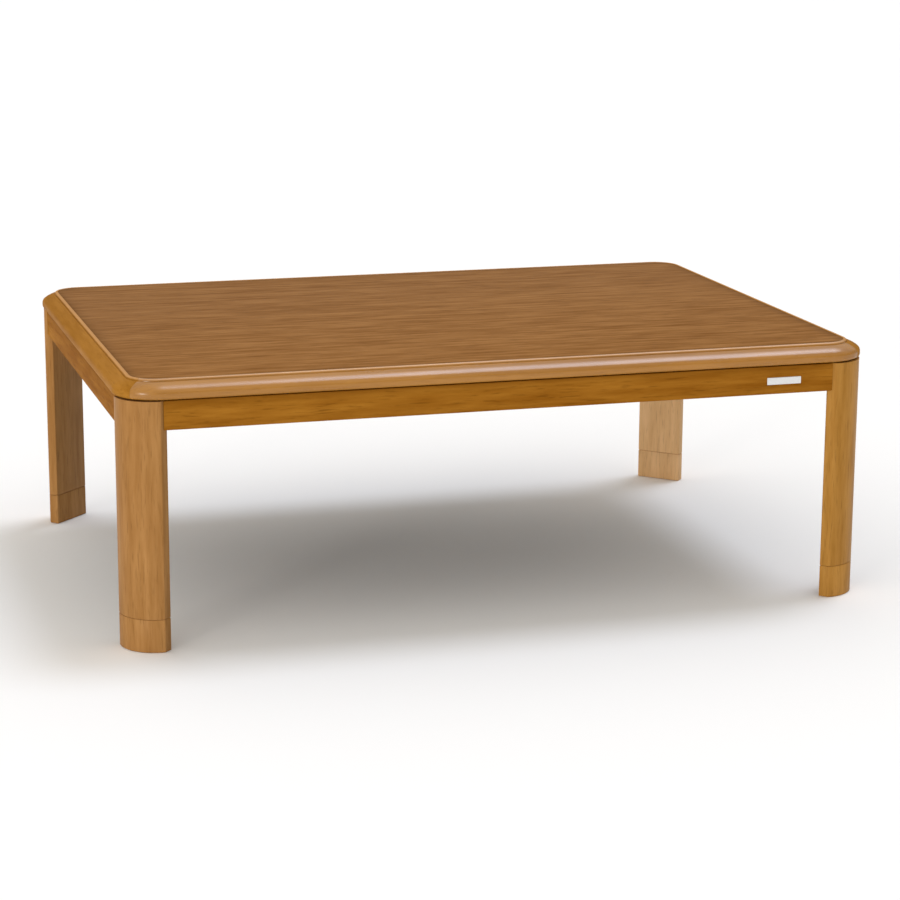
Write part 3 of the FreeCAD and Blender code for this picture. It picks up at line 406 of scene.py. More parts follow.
def clear_quartz(name):
    """Fused quartz with faint drawing lines along the tube."""
    material, tree, shader = new_material(name, {
        "Base Color": (0.96, 0.95, 0.92, 1), "Transmission Weight": 1.0, "IOR": 1.46})
    place = add_node(tree, "TexCoord", out="Object")
    lines = long_noise(tree, place, "X", (120 * MM, 2 * MM), 2)
    rough = add_node(tree, "MapRange", inputs={
        "Value": lines, "From Min": 0.3, "From Max": 0.7, "To Min": 0.02, "To Max": 0.08})
    tree.links.new(rough, shader.inputs["Roughness"])
    return material


# Each slot's maker, material name and values. The names that end in _across are for boards whose
# grain runs the other way.
FINISHES = {
    # sliced veneer, stained mid brown and matt: thin soft lines with short dark flecks, no gloss,
    # and a painted shade along its edge
    "veneer": (stained_wood, "stained_matt_veneer", "X", "veneer", 0.48, 0.02, 0.75, 0.55),
    # moulded solid wood in satin lacquer: golden brown, with one soft pale glint along its rounds
    # and a painted highlight on the bead's crown
    "rim_wood": (stained_wood, "lacquered_rim_wood", "X", "rim", 0.25, 0.5, 0.5, 0.25),
    # the same with a thinner lacquer: no shine at a low angle on the ends of the table
    "rim_wood_across": (
        stained_wood, "lacquered_rim_wood_across", "Y", "rim", 0.42, 0.01, 0.5, 0.25, 3),
    # planed solid wood in dull lacquer: orange brown with quiet long lines, and a painted shade
    # along its upper edge
    "frame_wood": (stained_wood, "lacquered_apron_wood", "X", "apron", 0.45, 0.004, 0.55, 0.5),
    "frame_wood_across": (
        stained_wood, "lacquered_apron_wood_across", "Y", "apron", 0.45, 0.004, 0.55, 0.5, 5),
    # shaped solid wood in satin lacquer: tan, with upright lines and a soft sheen down the round
    "leg_wood": (stained_wood, "lacquered_leg_wood", "Z", "leg", 0.38, 0.06, 0.6, 0.45),
    # planed softwood: pale, dull, with clear growth lines
    "raw_wood": (raw_wood, "planed_softwood", "Y", "#D9B98A", "#BE9864"),
    "raw_wood_across": (raw_wood, "planed_softwood_across", "X", "#D9B98A", "#BE9864"),
    # turned beech: pale pink brown, dull, with short fine lines
    "dowel_wood": (raw_wood, "turned_beech", "Y", "#DDC096", "#C6A272", 2),
    # plain plywood: light brown, dull, with wide wavy lines
    "under_board": (raw_wood, "plain_plywood", "X", "#C79E70", "#AC8258", 14),
    # moulded rubber: dark grey and matt, with a fine tooth
    "pad_rubber": (grained, "moulded_rubber", "#3A3836", 0.75, 0.8, 0.05),
    # moulded polyethylene: dark brown with a waxy sheen
    "glide_plastic": (grained, "moulded_polyethylene", "#4A3A2C", 0.5, 0.5, 0.02),
    # zinc plated steel: cool bright grey, slightly cloudy
    "zinc_steel": (rolled_metal, "zinc_plated_steel", "#C9C8C2", 0.32, "Z", 0.4),
    # satin aluminium: pale, with fine level brush lines
    "badge_metal": (rolled_metal, "satin_aluminium", "#E9E9E8", 0.34, "X", 0.25, 0.04),
    # galvanised sheet: blue grey, half dull, with faint rolling lines
    "housing_steel": (rolled_metal, "galvanised_sheet", "#BFC3C6", 0.36, "X", 0.8),
    # bright rolled aluminium: almost a mirror, with faint rolling lines
    "reflector_steel": (
        rolled_metal, "bright_rolled_aluminium", "#DCDCDA", 0.14, "X", 0.5, 0.05),
    # baked enamel on steel: near black with a slight orange peel in the gloss
    "guard_enamel": (grained, "baked_enamel", "#1E1E20", 0.32, 0.9, 0.02),
    # moulded phenolic: charcoal, half matt, with an even grain
    "cover_plastic": (grained, "moulded_phenolic", "#26262A", 0.48, 0.7, 0.05),
    # fused quartz: clear and glossy, so that the coil shows through with a faint long shimmer
    "quartz": (clear_quartz, "fused_quartz"),
    # fired steatite: cream white and dull
    "ceramic": (grained, "steatite_ceramic", "#E6E1D6", 0.6, 0.5, 0.03),
    # oxidised heating wire: dull grey brown metal
    "heating_wire": (rolled_metal, "nickel_chrome_wire", "#7C6E66", 0.45, "X", 0.3),
    # glass and epoxy laminate: green, smooth, with a faint weave in the gloss
    "board_laminate": (grained, "glass_epoxy_laminate", "#2E5A34", 0.35, 1.2, 0.01),
    # moulded polyamide: ivory, half matt
    "terminal_plastic": (grained, "moulded_polyamide", "#D8D2C2", 0.45, 0.5, 0.02),
    # turned brass: warm yellow metal with fine turning lines
    "brass": (rolled_metal, "turned_brass", "#D2B066", 0.25, "X", 0.3),
    # moulded urea: near black, with a faint grain
    "inlet_plastic": (grained, "moulded_urea", "#1C1C1E", 0.45, 0.6, 0.03),
    # braided glass sleeve: off white and dull, with a rough surface
    "lead_insulation": (grained, "braided_glass_sleeve", "#D9D3C6", 0.7, 0.4, 0.06),
    # pressed steel: mid grey metal with faint rolling lines
    "fan_steel": (rolled_metal, "pressed_steel", "#B4B7BA", 0.3, "X", 0.4),
}
made_finishes = {}


def finish_of(name):
    """The material of one slot of the record, or another of the finishes, made once."""
    if name not in made_finishes:
        maker, *values = FINISHES[name]
        made_finishes[name] = maker(*values)
    return made_finishes[name]


def leg_finish(part, corner, shift):
    """Each leg lies in its own place in the grain, set by the shift; the front right leg is
    coloured more golden and the back right one paler than the left ones."""
    tone_name = {"front_right": "golden_leg", "back_right": "pale_leg"}.get(corner, "leg")
    maker, _, axis, _, *values = FINISHES["leg_wood"]
    shift += list(CORNERS).index(corner) * 2
    name = "lacquered_%s_wood_%s" % (part, corner)
    return maker(name, axis, tone_name, *values, shift)


# Mesh helpers

def add_piece(name, bm, node, material=None):
    """Turn a mesh into a piece that stands for one CAD node and rides on that node's body."""
    bmesh.ops.recalc_face_normals(bm, faces=bm.faces)
    for face in bm.faces:
        face.smooth = True
    for edge in bm.edges:
        edge.smooth = len(edge.link_faces) == 2 and edge.calc_face_angle() < SHARP_TURN
    mesh = bpy.data.meshes.new(name)
    bm.to_mesh(mesh)
    bm.free()
    mesh.materials.append(material or finish_of(SLOT_OF_NODE[node]))
    piece = bpy.data.objects.new(name, mesh)
    bpy.context.scene.collection.objects.link(piece)
    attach(piece, BODY_OF_NODE[node])
    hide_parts(node)


def solid_copy(node):
    """A merged copy of a CAD node, with its flat faces whole."""
    bm = bmesh.new()
    bm.from_mesh(frame["nodes"][node].data)
    bmesh.ops.remove_doubles(bm, verts=bm.verts, dist=SAME_PLACE / 4)
    bmesh.ops.dissolve_limit(bm, angle_limit=FLAT_TURN, verts=bm.verts, edges=bm.edges)
    return bm


def solids_of(node):
    """The box of each separate solid of a CAD node, as (low, high) corners."""
    bm = solid_copy(node)
    waiting = set(bm.verts)
    boxes = []
    while waiting:
        front = [waiting.pop()]
        island = []
        while front:
            vert = front.pop()
            island.append(vert.co.copy())
            near = {edge.other_vert(vert) for edge in vert.link_edges} & waiting
            waiting -= near
            front.extend(near)
        boxes.append((Vector(map(min, zip(*island))), Vector(map(max, zip(*island)))))
    bm.free()
    return sorted(boxes, key=lambda box: tuple(round(value, 5) for value in box[0]))


def made_items(result, kind, key="geom"):
    """The vertices, edges or faces among what a mesh operator made."""
    return [item for item in result[key] if isinstance(item, kind)]


def bevel_evenly(bm, geom, width, steps, affect="EDGES", clamp=False):
    """Bevel edges, or corners, to an even round."""
    bmesh.ops.bevel(bm, geom=geom, offset=width, offset_type="OFFSET", segments=steps,
                    profile=0.5, affect=affect, material=-1, clamp_overlap=clamp)


def eased_copy(name, node, radius, steps=2, material=None, keep=None):
    """A copy of a CAD node with its outward edges eased, by a radius in millimetres."""
    bm = solid_copy(node)
    edges = [edge for edge in bm.edges if len(edge.link_faces) == 2
             and edge.calc_face_angle_signed() > EDGE_TURN and (keep is None or keep(edge))]
    bevel_evenly(bm, edges, radius * MM, steps, clamp=True)
    add_piece(name, bm, node, material)


def stamp(bm, part, place):
    """Add a small part at a place, and drop the part."""
    mesh = bpy.data.meshes.new("stamp")
    part.to_mesh(mesh)
    part.free()
    mesh.transform(place)
    bm.from_mesh(mesh)
    bpy.data.meshes.remove(mesh)


def pointing(place, direction):
    """A place whose Z axis points along a direction."""
    turn = Vector(direction).to_track_quat("Z", "Y").to_matrix().to_4x4()
    return Matrix.Translation(place) @ turn


def standing(low, high, z=None):
    """The place in the middle of a box's floor, or at another height."""
    return Matrix.Translation(((low.x + high.x) / 2, (low.y + high.y) / 2,
                               low.z if z is None else z))


def lying(x, middle):
    """The place beside a middle point, at x, whose Z axis points along X."""
    return Matrix.Translation((x, middle.y, middle.z)) @ ALONG_X


def lathe(bm, profile, steps):
    """Turn a profile of (radius, height) points round the Z axis."""
    verts = [bm.verts.new((radius, 0, z)) for radius, z in profile]
    edges = [bm.edges.new(pair) for pair in zip(verts, verts[1:])]
    bmesh.ops.spin(bm, geom=verts + edges, cent=(0, 0, 0), axis=(0, 0, 1), angle=FULL_TURN,
                   steps=steps, use_merge=True)
    bmesh.ops.remove_doubles(bm, verts=bm.verts, dist=SAME_PLACE / 4)


def ring_profile(inner, outer, low, high, bevel):
    """Section of a ring with bevelled edges."""
    return [(inner, low + bevel), (inner + bevel, low), (outer - bevel, low),
            (outer, low + bevel), (outer, high - bevel), (outer - bevel, high),
            (inner + bevel, high), (inner, high - bevel), (inner, low + bevel)]


def pin_profile(radius, low, high, bevel):
    """Half section of a round pin with bevelled ends."""
    return [(0, low), (radius - bevel, low), (radius, low + bevel), (radius, high - bevel),
            (radius - bevel, high), (0, high)]


def stamp_turned(bm, profile, place, steps=SMALL_STEPS):
    """Add a turned part at a place."""
    part = bmesh.new()
    lathe(part, profile, steps)
    stamp(bm, part, place)


def turned_piece(name, node, profile, boxes=None):
    """A turned part on the floor of a node's box, or of each of its solids' boxes. The profile is
    a function of the part's radius and height."""
    bm = bmesh.new()
    for low, high in boxes or [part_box(node)]:
        points = profile((high.x - low.x) / 2, high.z - low.z)
        stamp_turned(bm, points, standing(low, high), CIRCLE_STEPS)
    add_piece(name, bm, node)


def quarter_round(radius, steps):
    """Points over a quarter round, as distances from the two lines that it joins."""
    turns = [QUARTER * step / steps for step in range(steps + 1)]
    return [(radius * (1 - math.cos(turn)), radius * (1 - math.sin(turn))) for turn in turns]


def rounded_face(bm, size_x, size_y, radius, z, steps):
    """A level face with four rounded corners about the Z axis."""
    before = set(bm.faces)
    made = bmesh.ops.create_grid(bm, x_segments=1, y_segments=1, size=0.5)
    bmesh.ops.scale(bm, vec=(size_x, size_y, 1), verts=made["verts"])
    bmesh.ops.translate(bm, vec=(0, 0, z), verts=made["verts"])
    bevel_evenly(bm, made["verts"], radius, steps, "VERTICES")
    return (set(bm.faces) - before).pop()


def bridge_outlines(bm, outlines, steps, closed_ends):
    """Bridge rounded outlines, given as (size x, size y, radius, height), in turn. The first and
    last are filled, or else the last meets the first."""
    loops = []
    for number, outline in enumerate(outlines):
        face = rounded_face(bm, *outline, steps)
        loops.append(list(face.edges))
        if not (closed_ends and number in (0, len(outlines) - 1)):
            bmesh.ops.delete(bm, geom=[face], context="FACES_ONLY")
    following = loops[1:] if closed_ends else loops[1:] + loops[:1]
    for inner, outer in zip(loops, following):
        bmesh.ops.bridge_loops(bm, edges=inner + outer)


def slab(size_x, size_y, thickness, radius, steps, low=0):
    """A slab with rounded upright corners about the Z axis."""
    bm = bmesh.new()
    face = rounded_face(bm, size_x, size_y, radius, low, steps)
    bmesh.ops.duplicate(bm, geom=[face])
    end = made_items(bmesh.ops.extrude_face_region(bm, geom=[face]), BMFace)[0]
    bmesh.ops.translate(bm, vec=(0, 0, thickness), verts=end.verts)
    bmesh.ops.remove_doubles(bm, verts=bm.verts, dist=SAME_PLACE)
    return bm


def round_edges(bm, edges, radius, steps=EDGE_STEPS):
    """Round edges that all turn by about the same angle."""
    turn = sum(edge.calc_face_angle() for edge in edges) / len(edges)
    bevel_evenly(bm, edges, radius * math.tan(turn / 2), steps)


def edges_at_level(bm, z):
    """Edges that lie level at one height."""
    return [edge for edge in bm.edges
            if all(abs(vert.co.z - z) < SAME_PLACE for vert in edge.verts)]


def bevel_level(bm, z, width):
    """Bevel the outline of a prism at one height."""
    bevel_evenly(bm, edges_at_level(bm, z), width, 2)


def upright_edges(bm, places):
    """Upright edges over the given (x, y) places."""
    found = []
    for edge in bm.edges:
        first, second = (vert.co for vert in edge.verts)
        if (first - second).xy.length > SAME_PLACE:
            continue
        if any((first.xy - Vector(place)).length < SAME_PLACE for place in places):
            found.append(edge)
    return found


def polygon_prism(bm, points, low, high):
    """An upright prism over (x, y) points."""
    face = bm.faces.new([bm.verts.new((x, y, low)) for x, y in points])
    made = bmesh.ops.extrude_face_region(bm, geom=[face], use_keep_orig=True)
    bmesh.ops.translate(bm, vec=(0, 0, high - low), verts=made_items(made, BMVert))


def sink(bm, rim, mouth, depth, taper=1.0):
    """Fill a flat face between its rim and a mouth, and sink the mouth along Z to a closed
    floor."""
    bmesh.ops.triangle_fill(bm, edges=rim + mouth, use_beauty=True)
    wall = bmesh.ops.extrude_edge_only(bm, edges=mouth)
    moved = made_items(wall, BMVert)
    middle = sum((vert.co for vert in moved), Vector()) / len(moved)
    bmesh.ops.scale(bm, vec=(taper, taper, 1), space=Matrix.Translation(-middle), verts=moved)
    bmesh.ops.translate(bm, vec=(0, 0, depth), verts=moved)
    floor = [edge for edge in made_items(wall, BMEdge) if all(vert in moved for vert in edge.verts)]
    bmesh.ops.contextual_create(bm, geom=floor)


def to_corner(bm, sx, sy):
    """Move a mesh made inward from the legs' outer corner at (0, 0) to corner sx, sy."""
    low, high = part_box("leg_front_left")[0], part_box("leg_back_right")[1]
    bmesh.ops.scale(bm, vec=(-sx, -sy, 1), verts=bm.verts)
    bmesh.ops.translate(bm, vec=(high.x if sx > 0 else low.x, high.y if sy > 0 else low.y, 0),
                        verts=bm.verts)


# Top

def outline_from_edge(inset, drop):
    """The top's outline drawn in by an inset, as (size x, size y, radius, height)."""
    corner = bpy.context.scene.table_sizes.top_corner
    size = cad_box[1] - cad_box[0]
    return size.x - 2 * inset, size.y - 2 * inset, corner - inset, cad_box[1].z - drop


def outline_from_panel(out, drop):
    """The panel's outline grown outward, as (size x, size y, radius, height)."""
    corner = bpy.context.scene.table_sizes.panel_corner
    low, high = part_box("top_face_sheet")
    size = high - low
    return size.x + 2 * out, size.y + 2 * out, corner + out, cad_box[1].z - drop


def rim_outlines():
    """Closed outlines of the rim, from the foot of its inner face over bead, quirk, swelling band
    and nose, and back."""
    sizes = bpy.context.scene.table_sizes
    thickness = cad_box[1].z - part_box("rim_front")[0].z
    rim_width = cad_box[1].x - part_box("top_face_sheet")[1].x
    bead, foot, quirk, nose = sizes.bead_width, sizes.bead_step, sizes.quirk, sizes.nose_round
    first, last = sizes.band_start, sizes.band_end
    band_in = bead + quirk * 1.4
    run = rim_width - band_in - nose * (1 - math.sin(last))
    swell = run / (math.sin(last) - math.sin(first))
    nose_centre = foot + swell * (math.cos(first) - math.cos(last)) + nose * math.cos(last)

    outlines = [outline_from_panel(0, thickness)]
    outlines += [outline_from_panel(out, drop)
                 for out, drop in quarter_round(sizes.bead_inner, EDGE_STEPS)]
    outlines += [outline_from_panel(bead - short, drop)
                 for drop, short in quarter_round(sizes.bead_round, ROUND_STEPS)]
    outlines += [outline_from_panel(bead, foot), outline_from_panel(bead + quirk / 4, foot + quirk),
                 outline_from_panel(bead + quirk, foot + quirk)]
    for step in range(ROUND_STEPS + 1):
        slope = first + (last - first) * step / ROUND_STEPS
        outlines.append(outline_from_panel(
            band_in + swell * (math.sin(slope) - math.sin(first)),
            foot + swell * (math.cos(first) - math.cos(slope))))
    for step in range(1, ROUND_STEPS + 1):
        rise = (QUARTER - last) * (1 - step / ROUND_STEPS)
        outlines.append(outline_from_edge(nose * (1 - math.cos(rise)),
                                          nose_centre - nose * math.sin(rise)))
    outlines += [outline_from_edge(inset, thickness - rise)
                 for inset, rise in quarter_round(sizes.under_round, ROUND_STEPS)]
    return outlines


def cut_at_mitres(bm, side):
    """Keep the part of the ring between one side's two mitres."""
    gap = bpy.context.scene.table_sizes.mitre_gap / 2
    out = {"front": (0, -1), "back": (0, 1), "left": (-1, 0), "right": (1, 0)}[side]
    for along in (-1, 1):
        sx = out[0] or along
        sy = out[1] or along
        corner = Vector((cad_box[1].x * sx, cad_box[1].y * sy, 0))
        away = Vector((sx, -sy, 0)) if out[1] else Vector((-sx, sy, 0))
        away.normalize()
        made = bmesh.ops.bisect_plane(
            bm, geom=list(bm.verts) + list(bm.edges) + list(bm.faces),
            plane_co=corner - away * gap, plane_no=away, clear_outer=True)
        bmesh.ops.contextual_create(bm, geom=made_items(made, BMEdge, "geom_cut"))


class TABLE_OT_rim(Operator):
    """Four mitred mouldings round the panel: bead, swelling band and bullnose"""
    bl_idname = "table.rim"
    bl_label = "Rim mouldings"

    def execute(self, context):
        ring = bmesh.new()
        bridge_outlines(ring, rim_outlines(), CORNER_STEPS, False)
        for side in ("front", "back", "left", "right"):
            bm = ring.copy()
            cut_at_mitres(bm, side)
            wood = "rim_wood_across" if side in ("left", "right") else "rim_wood"
            add_piece("rim_moulding_" + side, bm, "rim_" + side, finish_of(wood))
        ring.free()
        return {"FINISHED"}


class TABLE_OT_panel(Operator):
    """Veneered face sheet and plain lower sheet of the hollow panel"""
    bl_idname = "table.panel"
    bl_label = "Panel"

    def execute(self, context):
        sizes = context.scene.table_sizes
        for node, drop in (("top_face_sheet", sizes.panel_drop), ("top_under_sheet", 0)):
            low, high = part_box(node)
            top = high.z - drop
            bm = slab(high.x - low.x, high.y - low.y, top - low.z, sizes.panel_corner,
                      CORNER_STEPS, low.z)
            bevel_level(bm, top, sizes.panel_edge)
            add_piece(node + "_board", bm, node)
        return {"FINISHED"}


class TABLE_OT_core(Operator):
    """Core battens inside the hollow panel, and the dowels in the rim's mitres"""
    bl_idname = "table.core"
    bl_label = "Panel core"

    def execute(self, context):
        eased_copy("core_batten_strips", "top_core_battens", 0.5)
        bm = bmesh.new()
        for low, high in solids_of("rim_dowels"):
            middle = (low + high) / 2
            across = Vector((math.copysign(1, middle.x), math.copysign(1, -middle.y), 0))
            radius = (high.z - low.z) / 2
            half = ((high.x - low.x) - 2 * radius / DIAGONAL) / DIAGONAL
            stamp_turned(bm, pin_profile(radius, -half, half, MM), pointing(middle, across))
        add_piece("rim_dowel_pins", bm, "rim_dowels")
        return {"FINISHED"}


# Frame

class TABLE_OT_aprons(Operator):
    """Four aprons with eased edges and ends cut beside the legs"""
    bl_idname = "table.aprons"
    bl_label = "Aprons"

    def execute(self, context):
        edge = context.scene.table_sizes.apron_edge
        for side, inward in (("front", 1), ("back", -1), ("left", 1), ("right", -1)):
            low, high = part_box("apron_" + side)
            middle = (low + high) / 2
            lengthwise = side in ("front", "back")
            thickness, span = sorted((high - low).xy)
            half, deep = span / 2, thickness / 2 * inward
            points = [(thickness - half, deep), (half - thickness, deep), (half, -deep),
                      (-half, -deep)]
            if not lengthwise:
                points = [(y, x) for x, y in points]
            bm = bmesh.new()
            polygon_prism(bm, [(x + middle.x, y + middle.y) for x, y in points], low.z, high.z)
            round_edges(bm, edges_at_level(bm, low.z) + edges_at_level(bm, high.z), edge)
            wood = "frame_wood" if lengthwise else "frame_wood_across"
            add_piece("apron_board_" + side, bm, "apron_" + side, finish_of(wood))
        return {"FINISHED"}


class TABLE_OT_badge(Operator):
    """Blank metal badge plate with a thin raised border"""
    bl_idname = "table.badge"
    bl_label = "Badge plate"

    def execute(self, context):
        sizes = context.scene.table_sizes
        low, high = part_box("badge_plate")
        size = high - low
        bm = slab(size.x, size.z, size.y, sizes.badge_corner, PLATE_STEPS)
        bevel_level(bm, size.y, size.y / 4)
        front = max(bm.faces, key=lambda face: (round(face.calc_center_median().z, 6),
                                                face.calc_area()))
        bmesh.ops.inset_region(bm, faces=[front], thickness=sizes.badge_border)
        bmesh.ops.inset_region(bm, faces=[front], thickness=size.y / 6, depth=-size.y / 6)
        upright = Matrix.Rotation(QUARTER, 3, "X")
        bmesh.ops.rotate(bm, cent=(0, 0, 0), matrix=upright, verts=bm.verts)
        place = ((low.x + high.x) / 2, high.y, (low.z + high.z) / 2)
        bmesh.ops.translate(bm, vec=place, verts=bm.verts)
        add_piece("badge_plate_blank", bm, "badge_plate")
        return {"FINISHED"}


class TABLE_OT_pads(Operator):
    """Rubber pads between frame and top, each with two moulded ribs"""
    bl_idname = "table.pads"
    bl_label = "Anti-slip pads"

    def execute(self, context):
        def pad(radius, height):
            edge = height / 5
            profile = [(0, 0), (radius - edge, 0), (radius, edge), (radius, height - edge),
                       (radius - edge, height)]
            for groove in (radius * 0.72, radius * 0.44):
                profile += [(groove + edge, height), (groove, height - edge),
                            (groove - edge, height)]
            return profile + [(0, height)]

        turned_piece("rubber_pads", "anti_slip_pads", pad, solids_of("anti_slip_pads"))
        return {"FINISHED"}


class TABLE_OT_carriers(Operator):
    """Corner blocks, and the rails and stretchers that carry the heater"""
    bl_idname = "table.carriers"
    bl_label = "Blocks and rails"

    def execute(self, context):
        for name, node, wood in (
                ("corner_block_wood", "corner_blocks", "raw_wood_across"),
                ("heater_rail_wood_left", "heater_rail_left", "raw_wood"),
                ("heater_rail_wood_right", "heater_rail_right", "raw_wood"),
                ("heater_stretcher_wood", "heater_stretchers", "raw_wood_across")):
            eased_copy(name, node, 1, material=finish_of(wood))
        bm = bmesh.new()
        for low, high in solids_of("frame_dowels"):
            size = high - low
            along = (1, 0, 0) if size.x > size.y else (0, 1, 0)
            half = max(size.x, size.y) / 2
            stamp_turned(bm, pin_profile(size.z / 2, -half, half, MM),
                         pointing((low + high) / 2, along))
        add_piece("frame_dowel_pins", bm, "frame_dowels")
        return {"FINISHED"}


# Fasteners

def cross_screw(head_radius, head, shank, reach):
    """A pan head screw with a cross recess, its seat at the origin and its tip at reach on Z."""
    bm = bmesh.new()
    tip = shank * 2
    root = shank * 0.78
    crown = head_radius * 0.62      # flat middle of the domed head
    pitch = bpy.context.scene.table_heater.screw_pitch
    profile = [(0, reach)]
    for turn in range(int((reach - tip) / pitch)):
        crest = reach - tip - turn * pitch
        profile += [(shank, crest), (root, crest - pitch / 2)]
    profile += [(root, 0), (head_radius, 0), (head_radius, -head * 0.35)]
    for step in range(1, 5):
        turn = QUARTER * step / 5
        profile.append((head_radius * (0.62 + 0.38 * math.cos(turn)),
                        -head * (0.35 + 0.65 * math.sin(turn))))
    profile.append((crown, -head))
    lathe(bm, profile, SMALL_STEPS)
    rim = edges_at_level(bm, -head)
    arm, half = head_radius * 0.48, head_radius * 0.10
    corners = []
    for turn in range(4):
        spin = Matrix.Rotation(QUARTER * turn, 2)
        corners += [bm.verts.new((*(spin @ Vector(place)), -head))
                    for place in ((arm, -half), (arm, half), (half, half))]
    mouth = [bm.edges.new(pair) for pair in zip(corners, corners[1:] + corners[:1])]
    sink(bm, rim, mouth, head * 0.6, 0.7)
    return bm


def threaded_rod(radius, reach):
    """A threaded rod along Z from the origin, with chamfered ends."""
    bm = bmesh.new()
    pitch = bpy.context.scene.table_heater.thread_pitch
    root = radius - 0.55 * pitch
    lathe(bm, pin_profile(root, 0, reach, pitch / 3), SMALL_STEPS)
    section = [bm.verts.new(place) for place in (
        (root - pitch / 10, 0, pitch / 2), (radius, 0, pitch), (root - pitch / 10, 0, pitch * 1.5))]
    ridge = bm.faces.new(section)
    turns = (reach - 2 * pitch) / pitch
    steps = int(turns * COIL_STEPS)
    bmesh.ops.spin(bm, geom=[ridge, *ridge.edges, *section], cent=(0, 0, 0), axis=(0, 0, 1),
                   dvec=(0, 0, turns * pitch / steps), angle=turns * FULL_TURN, steps=steps)
    return bm


def washer(radius, height):
    """A washer on the origin."""
    bm = bmesh.new()
    lathe(bm, ring_profile(radius * 0.44, radius, 0, height, height / 8), CIRCLE_STEPS)
    return bm


def hexagon_nut(radius, height):
    """A hexagon nut on the origin with eased edges."""
    bm = bmesh.new()
    outer = bmesh.ops.create_circle(bm, segments=6, radius=radius)["verts"]
    inner = bmesh.ops.create_circle(bm, segments=SMALL_STEPS, radius=radius * 0.525)["verts"]
    edges = list({edge for vert in outer + inner for edge in vert.link_edges})
    bmesh.ops.triangle_fill(bm, edges=edges, use_beauty=True)
    made = bmesh.ops.extrude_face_region(bm, geom=list(bm.faces), use_keep_orig=True)
    bmesh.ops.translate(bm, vec=(0, 0, height), verts=made_items(made, BMVert))
    bmesh.ops.recalc_face_normals(bm, faces=bm.faces)
    rim = [edge for edge in bm.edges if len(edge.link_faces) == 2
           and edge.calc_face_angle_signed() > math.radians(80)]
    bevel_evenly(bm, rim, height / 10, 1)
    return bm


class TABLE_OT_screws(Operator):
    """Cross recess screws of the corner blocks and of the heater"""
    bl_idname = "table.screws"
    bl_label = "Screws"

    def execute(self, context):
        for name, node, head_radius, head, shank in (
                ("block_screws", "corner_block_screws", 4 * MM, 2.6 * MM, 2 * MM),
                ("heater_pan_screws", "heater_screws", 3.4 * MM, 2.2 * MM, 1.75 * MM)):
            bm = bmesh.new()
            for low, high in solids_of(node):
                size = high - low
                middle = (low + high) / 2
                axis = max(range(3), key=lambda number: size[number])
                direction = Vector((0, 0, 0))
                direction[axis] = 1 if axis == 2 or middle[axis] > 0 else -1
                screw = cross_screw(head_radius, head, shank, size[axis] - head)
                seat = middle - direction * (size[axis] / 2 - head)
                stamp(bm, screw, pointing(seat, direction))
            add_piece(name, bm, node)
        return {"FINISHED"}


class TABLE_OT_bolts(Operator):
    """Threaded leg bolts with their washers and nuts"""
    bl_idname = "table.bolts"
    bl_label = "Leg bolts"

    def execute(self, context):
        over_corners = 1 / math.cos(math.radians(30))
        for name, node, make, widening in (
                ("leg_bolt_rods", "leg_bolts", threaded_rod, 1),
                ("leg_bolt_washers", "leg_washers", washer, 1),
                ("leg_bolt_nuts", "leg_nuts", hexagon_nut, over_corners)):
            bm = bmesh.new()
            for low, high in solids_of(node):
                middle = (low + high) / 2
                inward = Vector((math.copysign(1, -middle.x), math.copysign(1, -middle.y), 0))
                inward /= DIAGONAL
                radius = (high.z - low.z) / 2 * widening
                reach = (high.x - low.x) * DIAGONAL - 2 * radius
                stamp(bm, make(radius, reach), pointing(middle - inward * reach / 2, inward))
            add_piece(name, bm, node)
        return {"FINISHED"}


# Legs and feet

def leg_prism(bm, low, high):
    """A leg's section between two heights, inward from its outer corner at (0, 0)."""
    sizes = bpy.context.scene.table_sizes
    setback = sizes.leg_round + sizes.leg_flat
    end = sizes.leg_end / DIAGONAL
    shoulders = ((setback, 0), (0, setback))
    inner = ((setback + end, end), (end, setback + end))
    polygon_prism(bm, ((0, 0), shoulders[0], *inner, shoulders[1]), low, high)
    round_edges(bm, upright_edges(bm, [(0, 0)]), sizes.leg_round, CORNER_STEPS)
    round_edges(bm, upright_edges(bm, shoulders), sizes.leg_edge)
    round_edges(bm, upright_edges(bm, inner), sizes.leg_edge)


class TABLE_OT_legs(Operator):
    """Four legs, round outside and flat inside, each with the socket for its foot"""
    bl_idname = "table.legs"
    bl_label = "Legs"

    def execute(self, context):
        sizes = context.scene.table_sizes
        for corner, (sx, sy) in CORNERS.items():
            low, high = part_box("leg_" + corner)
            bm = bmesh.new()
            leg_prism(bm, low.z, high.z)
            bevel_level(bm, low.z, sizes.foot_bevel)
            to_corner(bm, sx, sy)
            sole = min(bm.faces, key=lambda face: (round(face.calc_center_median().z, 6),
                                                   -face.calc_area()))
            rim = list(sole.edges)
            bmesh.ops.delete(bm, geom=[sole], context="FACES_ONLY")
            circle = bmesh.ops.create_circle(
                bm, segments=CIRCLE_STEPS, radius=sizes.socket_radius,
                matrix=standing(*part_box("foot_peg_" + corner), low.z))
            mouth = list({edge for vert in circle["verts"] for edge in vert.link_edges})
            sink(bm, rim, mouth, sizes.socket_depth)
            add_piece("leg_post_" + corner, bm, "leg_" + corner, leg_finish("leg", corner, 0))
        turned_piece("socket_insert_tubes", "leg_socket_inserts", lambda radius, height: (
            ring_profile(radius * 0.632, radius, 0, height, 0.6 * MM)),
            solids_of("leg_socket_inserts"))
        return {"FINISHED"}


def peg_profile(radius, height):
    """A peg with eased ends and two shallow grooves that grip the socket."""
    profile = [(0, 0), (radius - 0.8 * MM, 0), (radius, 0.8 * MM)]
    for groove in (height * 0.62, height * 0.78):
        profile += [(radius, groove - MM), (radius - 0.5 * MM, groove), (radius, groove + MM)]
    return profile + [(radius, height - 2 * MM), (radius - 1.5 * MM, height), (0, height)]


